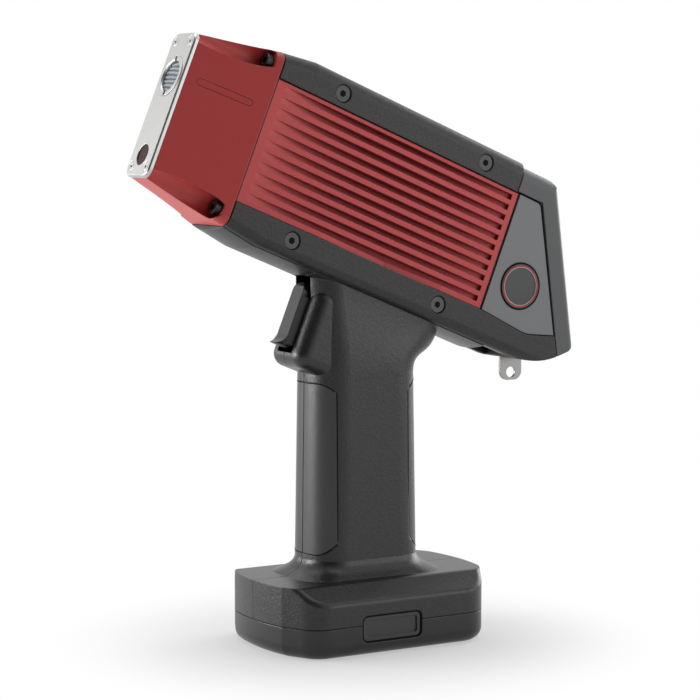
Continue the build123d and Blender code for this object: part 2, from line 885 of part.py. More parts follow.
def handle_solid():
    """Handle swelling into the base below and the saddle above."""
    below = [
        handle_section(handle_foot_z - 11, 0, 22, 18, 0),
        handle_section(handle_foot_z - 6.5, 0, 13, 10, 0),
        handle_section(handle_foot_z - 3.5, 0, 3.6, 2.8, 0),
        handle_section(handle_foot_z, 0, 0, 0, 0),
    ]
    drop = rail_bottom
    rise = radians(head_tilt)
    centre = (handle_x + neck_top_offset - head_x - drop * sin(rise)) / cos(rise)
    top_x, top_z = in_head(centre, drop)
    narrow = 2 * saddle_half_width - handle_width
    taper = handle_neck_taper
    above = [
        handle_section(handle_neck_z, 0, -taper, -taper / 2, 0),
        handle_section(handle_neck_z + 4, 1, -taper, -taper / 2, 0, 0.1),
        handle_section(handle_neck_z + 13, head_tilt / 2.2, 2, -taper / 2 - 1, 0, 1.4),
        handle_section(top_z, head_tilt, neck_top_growth, narrow, 0, top_x - handle_x),
    ]
    return loft(below) + handle_grip(0) + loft(above)


def saddle():
    """Strip under the head that the two grip shells form."""
    return head * extrude(crown_section(saddle_front, 0), saddle_rear - saddle_front)


def trigger_collar():
    """Rounded boss in front of the handle that the trigger swings in."""
    half = collar_half_width
    boss = slab(collar_front, collar_rear, -half, half, collar_bottom, collar_top)
    return head * fillet(boss.edges(), collar_radius)


def base_plan(inset):
    """Plan of the base and the battery foot, with bowed ends and cut corners."""
    tip, side, end = base_half_length, base_half_width, base_end_half_width
    shoulder = tip - base_end_bow
    straight = tip - base_corner_cut
    rear = ThreePointArc((shoulder, -end), (tip, 0), (shoulder, end))
    front = ThreePointArc((-shoulder, end), (-tip, 0), (-shoulder, -end))
    left = Polyline((shoulder, end), (straight, side), (-straight, side), (-shoulder, end))
    right = Polyline((-shoulder, -end), (-straight, -side), (straight, -side), (shoulder, -end))
    plan = make_face(rear + left + front + right)
    plan = fillet(plan.vertices().filter_by(lambda v: abs(v.Y) < end + 0.1), base_end_radius)
    plan = fillet(plan.vertices().filter_by(lambda v: abs(v.Y) > side - 0.1), base_corner_radius)
    return Pos(base_middle_x, 0) * (offset(plan, -inset) if inset else plan)


def base_top():
    """Upper half of the base with its long sloping shoulders."""
    height = base_top_z - base_seam_z
    block = Pos(0, 0, base_seam_z) * extrude(base_plan(0), height)
    half = base_half_width
    profile = Polygon(
        (-half - 1, base_seam_z),
        (half + 1, base_seam_z),
        (half + 1, base_top_z - base_chamfer_height),
        (half, base_top_z - base_chamfer_height),
        (half - base_chamfer_width, base_top_z),
        (base_chamfer_width - half, base_top_z),
        (-half, base_top_z - base_chamfer_height),
        (-half - 1, base_top_z - base_chamfer_height),
        align=None,
    )
    across = Plane(origin=(base_middle_x - 2 * half, 0, 0), x_dir=(0, 1, 0), z_dir=(1, 0, 0))
    block = block & extrude(across * profile, 4 * half)
    long_edges = block.edges().filter_by(Axis.X).filter_by(lambda e: e.center().Z > base_seam_z + 1)
    return fillet(long_edges, base_shoulder_radius)


def latch_pocket(gap):
    """Opening for a latch key through the base and battery flanks."""
    depth = latch_thickness + latch_travel + latch_pocket_spare
    middle = (latch_bottom + latch_top) / 2
    outline = Pos(latch_x, middle) * RectangleRounded(latch_length + 2 * gap, latch_top - latch_bottom + 2 * gap, latch_radius)
    tunnel = side_prism(outline, base_half_width + 5)
    inner = base_half_width - depth
    return tunnel - slab(latch_x - latch_length, latch_x + latch_length, -inner, inner, 0, base_top_z)


def stem_hole(gap):
    """Well for the battery stem."""
    outline = Pos(handle_x, 0) * RectangleRounded(stem_length + 2 * gap, stem_width + 2 * gap, stem_radius)
    return extrude(outline, stem_top + gap)


def grip_shells():
    """Both grip halves: base top, handle, collar and saddle, still joined."""
    reach = base_half_length + base_wall
    cavity = slab(-reach, reach, -reach, reach, base_top_z - base_wall, handle_neck_z - base_wall)
    handle = handle_solid() - slab(-2 * reach, 2 * reach, -reach, reach, 0, base_seam_z) - pad_bed()
    handle = handle - (handle_grip(handle_wall) & cavity)
    body = handle + (saddle() + trigger_collar()) + base_top()
    lid = Pos(0, 0, base_seam_z - 1) * extrude(base_plan(base_wall), base_top_z - base_wall - base_seam_z + 1)
    shoulder = base_half_width - base_chamfer_width
    lid = lid & slab(-reach, reach, -shoulder, shoulder, 0, base_top_z)
    body = body - lid - stem_hole(0.6)
    for x, z in grip_screw_spots():
        body = body + cylinder_y(grip_boss / 2, -grip_reach(z), grip_reach(z), x, z)
        if z < base_top_z:
            body = body + slab(x - 1, x + 1, -grip_reach(z), grip_reach(z), z, base_top_z - 1)
    for x, z in grip_screw_spots():
        body = body - grip_screw_hole(x, z)
    body = body - latch_pocket(seam_gap)
    slot = slide_gap + trigger_half_width
    swing = head * slab(collar_front - 8, trigger_slot_back, -slot, slot, trigger_bottom - 1.5, rail_bottom - 0.4)
    pin = head * cylinder_y(trigger_pin_diameter / 2 + screw_gap, -11, 11, trigger_pin_s, trigger_pin_h)
    return body - swing - pin - (head * port_bay()) - (head * tab_slot())


def grip_screw_spots():
    """Places of the screws that clamp the two grip shells."""
    base_z = base_seam_z + base_screw_rise
    return [
        (handle_x - grip_screw_reach, grip_screw_front_z),
        (handle_x + grip_screw_reach, grip_screw_rear_z),
        (handle_x - base_screw_front, base_z),
        (handle_x + base_screw_rear, base_z),
    ]


def grip_reach(z):
    """How far a screw boss stands out from the mid plane."""
    return handle_width / 2 - 1.5 if z > base_top_z else base_boss_reach


def grip_screw_hole(x, z):
    """Stepped hole for one grip screw, sunk from the right."""
    seat = grip_reach(z) - grip_screw_seat
    bore = cylinder_y(grip_screw_diameter / 2 + screw_gap, seat - grip_screw_length - 1, seat + 1, x, z)
    return bore + cylinder_y(grip_screw_head / 2 + seam_gap, seat, seat + handle_width, x, z)


def grip_screws():
    """Four socket screws driven from the right."""
    screws = []
    for x, z in grip_screw_spots():
        seat = grip_reach(z) - grip_screw_seat
        screw = cylinder_y(grip_screw_head / 2, seat, seat + grip_screw_head_height, x, z)
        screw = screw + cylinder_y(grip_screw_diameter / 2, seat - grip_screw_length, seat, x, z)
        top = seat + grip_screw_head_height
        socket = Pos(x, top, z) * Rot(90, 0, 0) * extrude(RegularPolygon(1.3, 6), 1.2)
        screws.append(screw - socket)
    return screws


def pad_window(x_from, x_to, gap):
    """Block that trims a grip pad to its rounded outline."""
    height = pad_top - pad_bottom + 2 * gap
    width = handle_width - 2.6 + 2 * gap
    face = Plane(origin=(x_from, 0, (pad_top + pad_bottom) / 2), x_dir=(0, 1, 0), z_dir=(1, 0, 0))
    return extrude(face * RectangleRounded(width, height, pad_corner_radius), x_to - x_from)


def pad_bed():
    """Recesses for the front and rear grip pads."""
    front = pad_window(handle_x - handle_length, front_pad_x + fit_gap, fit_gap)
    rear = pad_window(rear_pad_x - fit_gap, handle_x + handle_length, fit_gap)
    return (front + rear) - handle_grip(pad_thickness)


def grip_pad(x_from, x_to):
    """Soft insert that follows the handle surface."""
    return (pad_window(x_from, x_to, 0) & handle_grip(0)) - handle_grip(pad_thickness)


def trigger_profile():
    """Side view of the trigger: straight face, forward lip and hidden lever."""
    face, low = trigger_face, trigger_bottom
    lip = ThreePointArc(
        (face, low + trigger_lip_height),
        (face - trigger_lip * 0.25, low + trigger_lip_height * 0.4),
        (face - trigger_lip, low + 0.6),
    )
    rest = Polyline(
        (face - trigger_lip, low + 0.6),
        (face - trigger_lip + 0.4, low),
        (face + trigger_depth, low),
        (face + trigger_depth, trigger_pin_h),
        (face + trigger_depth, trigger_top),
        (face + 1, trigger_top),
        (face, trigger_top - 2),
        (face, low + trigger_lip_height),
    )
    return make_face(lip + rest)


def trigger_pad():
    """Round-ended finger pad that stands out of the collar."""
    half = trigger_pad_half_width
    height = trigger_top - trigger_bottom
    middle = (trigger_top + trigger_bottom) / 2
    front = Plane(origin=(trigger_face - 2 * trigger_lip, 0, middle), x_dir=(0, 1, 0), z_dir=(1, 0, 0))
    outline = RectangleRounded(2 * half, height, half - 0.1)
    depth = 2 * trigger_lip + trigger_pad_depth
    return extrude(front * outline, depth) & side_prism(trigger_profile(), trigger_half_width)


def trigger():
    """Finger lever: pad in front, wider flared body behind, turning on its pin."""
    narrow, wide = trigger_pad_half_width, trigger_half_width
    start, end = trigger_face, trigger_face + trigger_depth
    plan = Polygon((start, -narrow), (end, -wide), (end, wide), (start, narrow), align=None)
    body = Pos(0, 0, trigger_bottom + 1.5) * extrude(plan, trigger_shoulder - trigger_bottom - 1.5)
    arm = slab(end - 3, trigger_pin_s, -wide, wide, trigger_pin_h - 6, trigger_pin_h + 2)
    barrel = cylinder_y(trigger_barrel_diameter / 2, -wide, wide, trigger_pin_s, trigger_pin_h)
    lever = body + trigger_pad() + arm + barrel
    bore = cylinder_y(trigger_pin_diameter / 2 + screw_gap, -2 * wide, 2 * wide, trigger_pin_s, trigger_pin_h)
    return lever - bore


def trigger_pin():
    """Steel cross pin of the trigger."""
    return cylinder_y(trigger_pin_diameter / 2, -10.5, 10.5, trigger_pin_s, trigger_pin_h)


def trigger_switch():
    """Micro switch behind the trigger, seated on the slot's back wall."""
    low = trigger_bottom + 3
    high = low + trigger_switch_height
    half = trigger_half_width - 0.8
    block = slab(trigger_slot_back - 5.2, trigger_slot_back - 0.1, -half, half, low, high)
    plunger = cylinder_x(1.2, trigger_slot_back - 6.4, trigger_slot_back - 5, 0, (low + high) / 2)
    return block + plunger


def trigger_spring():
    """Return spring between the trigger's back and the slot wall."""
    start = trigger_face + trigger_depth
    coil = spring_coil(trigger_spring_diameter, trigger_spring_wire, trigger_slot_back - start - 0.3)
    return Pos(start + 0.15, 0, trigger_pin_h - 10) * Rot(0, 90, 0) * coil


def battery_case():
    """Battery foot and stem moulded as one case."""
    foot = extrude(base_plan(0), base_seam_z - seam_gap)
    foot = fillet(foot.faces().sort_by(Axis.Z)[0].edges(), battery_bottom_radius)
    stem = Pos(handle_x, 0, 1) * extrude(RectangleRounded(stem_length, stem_width, stem_radius), stem_top - 1)
    case = foot + stem
    for side in (-1, 1):
        place = Pos(handle_x + side * (cell_diameter / 2 + 0.3), 0, stem_top - battery_wall - cell_length)
        case = case - place * Cylinder(cell_diameter / 2 + fit_gap, cell_length, align=(Align.CENTER, Align.CENTER, Align.MIN))
    return case - latch_pocket(seam_gap)


def battery_cells():
    """Two cylindrical cells in the stem."""
    cells = []
    for side in (-1, 1):
        place = Pos(handle_x + side * (cell_diameter / 2 + 0.3), 0, stem_top - battery_wall - cell_length)
        cells.append(place * Cylinder(cell_diameter / 2, cell_length - 0.2, align=(Align.CENTER, Align.CENTER, Align.MIN)))
    return cells


def battery_contacts():
    """Contact block on top of the stem."""
    half = contact_size / 2
    block = slab(handle_x - half, handle_x + half, -4, 4, stem_top, stem_top + contact_height)
    for index in range(4):
        x = handle_x - half + 2 + index * 2.6
        block = block - slab(x, x + 0.8, -3, 3, stem_top + contact_height - 1, stem_top + contact_height + 1)
    return block


def latch_key():
    """Left squeeze key with a raised rim and a dished middle."""
    middle = (latch_bottom + latch_top) / 2
    face = -(base_half_width - latch_inset)
    outline = Pos(latch_x, middle) * RectangleRounded(latch_length, latch_top - latch_bottom, latch_radius - seam_gap)
    key_body = side_prism(outline, base_half_width) & slab(-60, 60, face, face + latch_thickness, -10, 40)
    inner = Pos(latch_x, middle) * RectangleRounded(latch_length - 4, latch_top - latch_bottom - 4, 1.4)
    dish = side_prism(inner, base_half_width) & slab(-60, 60, face - 1, face + 0.8, -10, 40)
    return key_body - dish


def latch_spring(side):
    """Compression spring behind one latch key."""
    start = base_half_width - latch_inset - latch_thickness
    room = latch_travel + latch_pocket_spare - latch_inset
    middle = (latch_bottom + base_seam_z) / 2
    coil = spring_coil(latch_spring_diameter, latch_spring_wire, room - 0.3)
    return Pos(latch_x, side * (start - room + 0.15), middle) * Rot(-90 * side, 0, 0) * coil


def spring_coil(outer_diameter, wire, length):
    """Coil spring along Z, standing on the XY plane."""
    radius = (outer_diameter - wire) / 2
    path = Helix(pitch=wire * 2.2, height=length - wire, radius=radius)
    section = Plane(origin=path.position_at(0), z_dir=path.tangent_at(0)) * Circle(wire / 2)
    return Pos(0, 0, wire / 2) * sweep(section, path=path)


def chassis_top():
    """Height of the chassis plate that rests on the lower screw bosses."""
    boss_top = sink_bottom - side_screw_rail_offset + side_boss_diameter / 2
    return boss_top + seam_gap + chassis_thickness


def chassis():
    """Aluminium tray with two cradles for the X-ray tube."""
    top = chassis_top()
    half = chassis_half_width
    tray = slab(chassis_front, chassis_rear, -half, half, top - chassis_thickness, top)
    for s in (tube_support_front, tube_support_rear):
        tray = tray + slab(s, s + tube_support_thickness, -half, half, top, tube_h)
    cradle = tube_diameter / 2 + fit_gap
    tray = tray - cylinder_x(cradle, tube_front - 1, tube_front + tube_length, 0, tube_h)
    return tray - slab(chassis_front - 1, tube_front + tube_length, -cradle, cradle, tube_h, tube_h + 20)


def xray_tube():
    """Sealed tube with its snout and the rear high-voltage neck."""
    radius = tube_diameter / 2
    end = tube_front + tube_length
    body = cylinder_x(radius, tube_front, end, 0, tube_h)
    body = chamfer(body.edges().filter_by(GeomType.CIRCLE), 0.8)
    snout = cylinder_x(tube_snout_diameter / 2, tube_front - tube_snout_length, tube_front, 0, tube_h)
    neck = cylinder_x(radius - 2, end, supply_front + 0.6, 0, tube_h)
    bore = cylinder_x(tube_snout_diameter / 2 - 2, tube_front - tube_snout_length - 1, tube_front - 1, 0, tube_h)
    return body + snout + neck - bore


def high_voltage_supply():
    """Potted supply block with the tube socket and corner posts."""
    base = chassis_top()
    half = supply_half_width
    block = slab(supply_front, supply_front + supply_length, -half, half, base, base + supply_height)
    block = fillet(block.edges().filter_by(Axis.Z), 2.5)
    tower = slab(supply_front + 0.6, supply_front + 15, -half, half, base + supply_height - 1, tube_h + tube_diameter / 2)
    socket = cylinder_x(tube_diameter / 2 - 2 + fit_gap, supply_front - 1, supply_front + 0.9, 0, tube_h)
    return block + tower - socket


def detector():
    """Detector can aimed at the window, on its preamplifier block."""
    rise = window_h - detector_h
    run = detector_s - plate_back
    place = Plane(origin=(detector_s, 0, detector_h), z_dir=(-run, 0, rise)).location
    can = place * Cylinder(detector_diameter / 2, detector_length)
    lip = place * Pos(0, 0, -detector_length / 2) * Cylinder(detector_diameter / 2 + 1, 1.2)
    base = chassis_top()
    half = detector_diameter / 2
    start = chassis_front + detector_stand_gap
    end = start + detector_stand_length
    block = slab(start, end, -half, half, base, detector_h - half)
    neck = slab(start + 2, end - 2, -half / 2, half / 2, detector_h - half - 1, detector_h - 1)
    return can + lip + block + (neck - can)


def main_board():
    """Processor board under the upper screw bosses, with its larger chips."""
    top = side_screw_rail_offset - side_boss_diameter / 2 - seam_gap
    half = chassis_half_width
    board = slab(board_front, board_front + board_length, -half, half, top - board_thickness, top)
    for s, size, height in ((14, 10, 1.6), (40, 13, 1.4), (60, 9, 2.2), (86, 12, 1.4), (112, 8, 3.0)):
        board = board + slab(s, s + size, -size / 2, size / 2, top - board_thickness - height, top - board_thickness)
    return board


def shutter_guide():
    """Grooved frame behind the plate that the shutter slides in."""
    inner = shutter_half_width - 0.7
    outer = inner + shutter_rail_width
    back = shutter_s + shutter_thickness + 1
    bottom = window_h - shutter_height / 2 - shutter_travel - 1
    top = window_h + shutter_height / 2 + 1
    frame = slab(plate_back, back, -outer, outer, top, top + 4.5)
    for side in (-1, 1):
        ys = sorted((side * inner, side * outer))
        frame = frame + slab(plate_back, back, *ys, bottom, top + 1)
    groove = shutter_half_width + fit_gap
    slot = slab(shutter_s - fit_gap, shutter_s + shutter_thickness + fit_gap, -groove, groove, bottom - 1, top - 0.5)
    return frame - slot


def shutter():
    """Sliding shutter blade that also carries the check sample."""
    half = shutter_height / 2
    back = shutter_s + shutter_thickness
    blade = slab(shutter_s, back, -shutter_half_width, shutter_half_width, window_h - half, window_h + half)
    dish = cylinder_x(5, shutter_s - 1, shutter_s + 0.5, window_y, window_h)
    return blade - dish


def shutter_motor():
    """Small motor on the back of the shutter guide."""
    front = shutter_s + shutter_thickness + 1
    height = window_h + shutter_height / 2 + 3.2
    return cylinder_x(2.2, front, front + 8, 0, height) + cylinder_x(0.8, front + 8, front + 9, 0, height)


def socket_places():
    """Stations of the two sockets along the port bay."""
    middle = port_bay_front + port_bay_length / 2
    return (middle - socket_pitch / 2, middle + socket_pitch / 2)


def port_plate():
    """Socket plate in the roof of the port bay, with two openings."""
    roof = rail_bottom + port_bay_depth
    edge = fit_gap
    end = port_bay_front + port_bay_length - edge
    half = port_bay_half_width - edge
    plate = slab(port_bay_front + edge, end, -half, half, roof - port_plate_thickness, roof)
    for s in socket_places():
        x, y = socket_length / 2 + 0.05, socket_width / 2 + 0.05
        plate = plate - slab(s - x, s + x, -y, y, roof - 3, roof + 1)
    return plate


def port_sockets():
    """Two metal socket shells in the port plate."""
    roof = rail_bottom + port_bay_depth
    front = roof - port_plate_thickness - 0.4
    sockets = []
    for s in socket_places():
        x, y = socket_length / 2, socket_width / 2
        shell = slab(s - x, s + x, -y, y, front, roof - 0.1)
        inner = slab(s - x + socket_wall, s + x - socket_wall, socket_wall - y, y - socket_wall, front - 1, roof - 0.4)
        sockets.append(shell - inner)
    return sockets


def write(name, shape):
    """Write one piece, or one group of like pieces, to its file."""
    if isinstance(shape, list):
        shape = Compound(children=shape)
    export_step(shape, "parts/" + name + ".step")


def mirrored(shape):
    """The right-hand twin of a left-hand piece."""
    return mirror(shape, about=Plane.XZ)


def main():
    os.makedirs("parts", exist_ok=True)
    frames = side_frames()
    write("left_side_frame", head * left_of(frames))
    write("right_side_frame", head * right_of(frames))
    pairs = {
        "heat_sink": heat_sink(),
        "side_panel": side_panel(),
        "badge": badge(),
        "status_light": status_light(),
    }
    for name, shape in pairs.items():
        write("left_" + name, head * shape)
        write("right_" + name, head * mirrored(shape))
    write("left_side_screws", [head * screw for screw in side_screws(-1)])
    write("right_side_screws", [head * screw for screw in side_screws(1)])
    singles = {
        "nose_housing": nose_housing(),
        "nose_gasket": nose_gasket(),
        "front_plate": front_plate(),
        "window_retainer": window_retainer(),
        "window_film": window_film(),
        "window_grid": window_grid(),
        "camera_lens": camera_lens(),
        "camera_module": camera_module(),
        "rear_housing": rear_housing(),
        "display_glass": display_glass(),
        "display_module": display_module(),
        "key_board": key_board(),
        "trigger": trigger(),
        "trigger_pin": trigger_pin(),
        "trigger_switch": trigger_switch(),
        "trigger_spring": trigger_spring(),
        "chassis": chassis(),
        "xray_tube": xray_tube(),
        "high_voltage_supply": high_voltage_supply(),
        "detector": detector(),
        "main_board": main_board(),
        "shutter_guide": shutter_guide(),
        "shutter": shutter(),
        "shutter_motor": shutter_motor(),
        "port_plate": port_plate(),
    }
    for name, shape in singles.items():
        write(name, head * shape)
    for name, y in zip(("back_key", "power_key", "menu_key"), key_offsets()):
        write(name, head * key(y))
    write("front_plate_screws", [head * screw for screw in plate_screws()])
    write("nose_screws", [head * screw for screw in nose_screws()])
    write("port_sockets", [head * socket for socket in port_sockets()])
    write("lanyard_tab", lanyard_tab())
    shells = grip_shells()
    write("left_grip_shell", left_of(shells))
    write("right_grip_shell", right_of(shells))
    write("grip_screws", grip_screws())
    front_pads = grip_pad(handle_x - handle_length, front_pad_x)
    rear_pads = grip_pad(rear_pad_x, handle_x + handle_length)
    write("left_front_pad", left_of(front_pads))
    write("right_front_pad", right_of(front_pads))
    write("left_rear_pad", left_of(rear_pads))
    write("right_rear_pad", right_of(rear_pads))
    write("battery_case", battery_case())
    write("battery_cells", battery_cells())
    write("battery_contacts", battery_contacts())
    write("left_latch_key", latch_key())
    write("right_latch_key", mirrored(latch_key()))
    write("left_latch_spring", latch_spring(-1))
    write("right_latch_spring", latch_spring(1))


main()
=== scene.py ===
import bpy
import bmesh
import math
from mathutils import Matrix, Vector


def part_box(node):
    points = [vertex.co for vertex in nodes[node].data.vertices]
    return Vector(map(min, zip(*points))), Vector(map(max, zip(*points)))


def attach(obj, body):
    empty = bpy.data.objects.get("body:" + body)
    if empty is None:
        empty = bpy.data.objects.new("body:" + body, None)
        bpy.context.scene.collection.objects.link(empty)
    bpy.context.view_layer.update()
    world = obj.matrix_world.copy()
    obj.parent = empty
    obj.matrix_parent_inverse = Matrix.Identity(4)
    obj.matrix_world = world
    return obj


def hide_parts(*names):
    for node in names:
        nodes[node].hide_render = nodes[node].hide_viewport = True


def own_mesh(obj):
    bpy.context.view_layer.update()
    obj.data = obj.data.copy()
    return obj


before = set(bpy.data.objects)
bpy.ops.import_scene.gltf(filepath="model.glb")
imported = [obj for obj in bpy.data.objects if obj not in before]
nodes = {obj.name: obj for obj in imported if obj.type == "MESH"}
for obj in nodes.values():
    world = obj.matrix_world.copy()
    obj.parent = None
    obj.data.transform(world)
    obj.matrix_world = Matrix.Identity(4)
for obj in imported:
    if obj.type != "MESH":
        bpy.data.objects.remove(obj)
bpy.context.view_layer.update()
print("frame loaded:", len(nodes), "nodes")


view = {
    "place": (-0.52929, -0.88527, 0.22372),
    "aim": (-0.0012, 0.0, 0.12857),
    "lens": 120.86,
    "sensor": 36.0,
    "near": 0.05,
    "far": 30.0,
}


def pointAt(thing, place, aim):
    thing.location = Vector(place)
    thing.rotation_mode = "QUATERNION"
    thing.rotation_quaternion = (Vector(aim) - thing.location).to_track_quat("-Z", "Y")


def makeCamera(spec):
    data = bpy.data.cameras.new("studioCamera")
    data.lens = spec["lens"]
    data.sensor_width = spec["sensor"]
    data.sensor_fit = "AUTO"
    data.clip_start = spec["near"]
    data.clip_end = spec["far"]
    camera = bpy.data.objects.new("studioCamera", data)
    bpy.context.scene.collection.objects.link(camera)
    pointAt(camera, spec["place"], spec["aim"])
    bpy.context.scene.camera = camera


makeCamera(view)
print("camera made")


def newGroup(name, inputs, outputs):
    group = bpy.data.node_groups.new(name, "ShaderNodeTree")
    for label, kind, value in inputs:
        socket = group.interface.new_socket(name=label, in_out="INPUT", socket_type=kind)
        if value is not None:
            socket.default_value = value
    for label, kind in outputs:
        group.interface.new_socket(name=label, in_out="OUTPUT", socket_type=kind)
    entry = group.nodes.new("NodeGroupInput")
    leave = group.nodes.new("NodeGroupOutput")
    return group, entry, leave


def addNode(tree, kind, **settings):
    node = tree.nodes.new(kind)
    for key, value in settings.items():
        setattr(node, key, value)
    return node


def mathNode(tree, operation, first, second):
    node = addNode(tree, "ShaderNodeMath", operation=operation)
    for index, value in enumerate((first, second)):
        if isinstance(value, (int, float)):
            node.inputs[index].default_value = value
        elif value is not None:
            tree.links.new(value, node.inputs[index])
    return node.outputs[0]


def spread(tree, value, low, high):
    # stretches a value between 0 and 1 over low to high
    node = addNode(tree, "ShaderNodeMapRange")
    node.inputs["To Min"].default_value = low
    node.inputs["To Max"].default_value = high
    tree.links.new(value, node.inputs["Value"])
    return node.outputs["Result"]


def mixColour(tree, factor, first, second):
    node = addNode(tree, "ShaderNodeMix", data_type="RGBA")
    tree.links.new(factor, node.inputs["Factor"])
    for label, value in (("A", first), ("B", second)):
        if isinstance(value, tuple):
            node.inputs[label].default_value = (*value, 1.0)
        else:
            tree.links.new(value, node.inputs[label])
    return node.outputs["Result"]


def noiseNode(tree, place, scale, detail=2.0):
    node = addNode(tree, "ShaderNodeTexNoise")
    node.inputs["Detail"].default_value = detail
    tree.links.new(place, node.inputs["Vector"])
    if isinstance(scale, (int, float)):
        node.inputs["Scale"].default_value = scale
    else:
        tree.links.new(scale, node.inputs["Scale"])
    return node


def newMaterial(name):
    material = bpy.data.materials.new(name)
    material.use_nodes = True
    tree = material.node_tree
    return material, tree, tree.nodes["Principled BSDF"]


def makeGrain():
    # fine moulded grain: two noises and a few larger pits
    group, entry, leave = newGroup(
        "mouldGrain",
        [
            ("Vector", "NodeSocketVector", None),
            ("Grain Scale", "NodeSocketFloat", 1800.0),
            ("Pit Scale", "NodeSocketFloat", 700.0),
        ],
        [("Height", "NodeSocketFloat"), ("Mask", "NodeSocketFloat")],
    )
    link = group.links.new
    fine = noiseNode(group, entry.outputs["Vector"], entry.outputs["Grain Scale"], 3.0)
    fine.inputs["Roughness"].default_value = 0.6
    pits = addNode(group, "ShaderNodeTexVoronoi", feature="SMOOTH_F1")
    link(entry.outputs["Vector"], pits.inputs["Vector"])
    link(entry.outputs["Pit Scale"], pits.inputs["Scale"])
    mixed = mathNode(group, "MULTIPLY", pits.outputs["Distance"], 0.5)
    height = mathNode(group, "ADD", fine.outputs["Fac"], mixed)
    link(height, leave.inputs["Height"])
    link(fine.outputs["Fac"], leave.inputs["Mask"])
    return group


def makeTone():
    # slow colour drift with a dusting of lighter specks
    group, entry, leave = newGroup(
        "toneDrift",
        [
            ("Vector", "NodeSocketVector", None),
            ("Base", "NodeSocketColor", (0.1, 0.1, 0.1, 1.0)),
            ("Shade", "NodeSocketColor", (0.08, 0.08, 0.08, 1.0)),
            ("Drift Scale", "NodeSocketFloat", 14.0),
            ("Speck Scale", "NodeSocketFloat", 1500.0),
            ("Speck Amount", "NodeSocketFloat", 0.1),
        ],
        [("Color", "NodeSocketColor"), ("Drift", "NodeSocketFloat")],
    )
    link = group.links.new
    drift = noiseNode(group, entry.outputs["Vector"], entry.outputs["Drift Scale"], 4.0)
    speck = noiseNode(group, entry.outputs["Vector"], entry.outputs["Speck Scale"])
    drifted = mixColour(group, drift.outputs["Fac"], entry.outputs["Base"], entry.outputs["Shade"])
    centred = mathNode(group, "SUBTRACT", speck.outputs["Fac"], 0.5)
    scaled = mathNode(group, "MULTIPLY", centred, entry.outputs["Speck Amount"])
    factor = mathNode(group, "ADD", scaled, 1.0)
    bright = addNode(group, "ShaderNodeVectorMath", operation="SCALE")
    link(drifted, bright.inputs[0])
    link(factor, bright.inputs["Scale"])
    link(bright.outputs["Vector"], leave.inputs["Color"])
    link(drift.outputs["Fac"], leave.inputs["Drift"])
    return group


def makeEdge():
    # rounded-normal test that finds outer edges, where the colour is lightened partly as wear and
    # partly as a painted highlight
    group, entry, leave = newGroup(
        "edgeRubAndHighlight",
        [
            ("Vector", "NodeSocketVector", None),
            ("Radius", "NodeSocketFloat", 0.0006),
            ("Breakup Scale", "NodeSocketFloat", 160.0),
        ],
        [("Mask", "NodeSocketFloat"), ("Normal", "NodeSocketVector")],
    )
    link = group.links.new
    bevel = addNode(group, "ShaderNodeBevel", samples=6)
    link(entry.outputs["Radius"], bevel.inputs["Radius"])
    geometry = addNode(group, "ShaderNodeNewGeometry")
    dot = addNode(group, "ShaderNodeVectorMath", operation="DOT_PRODUCT")
    link(bevel.outputs["Normal"], dot.inputs[0])
    link(geometry.outputs["Normal"], dot.inputs[1])
    turned = mathNode(group, "SUBTRACT", 1.0, dot.outputs["Value"])
    wide = mathNode(group, "MULTIPLY", turned, 6.0)
    noise = noiseNode(group, entry.outputs["Vector"], entry.outputs["Breakup Scale"], 5.0)
    broken = mathNode(group, "MULTIPLY", wide, noise.outputs["Fac"])
    limited = addNode(group, "ShaderNodeClamp")
    link(broken, limited.inputs["Value"])
    link(limited.outputs["Result"], leave.inputs["Mask"])
    link(bevel.outputs["Normal"], leave.inputs["Normal"])
    return group


groups = {"grain": makeGrain(), "tone": makeTone(), "edge": makeEdge()}
print("shader groups made")
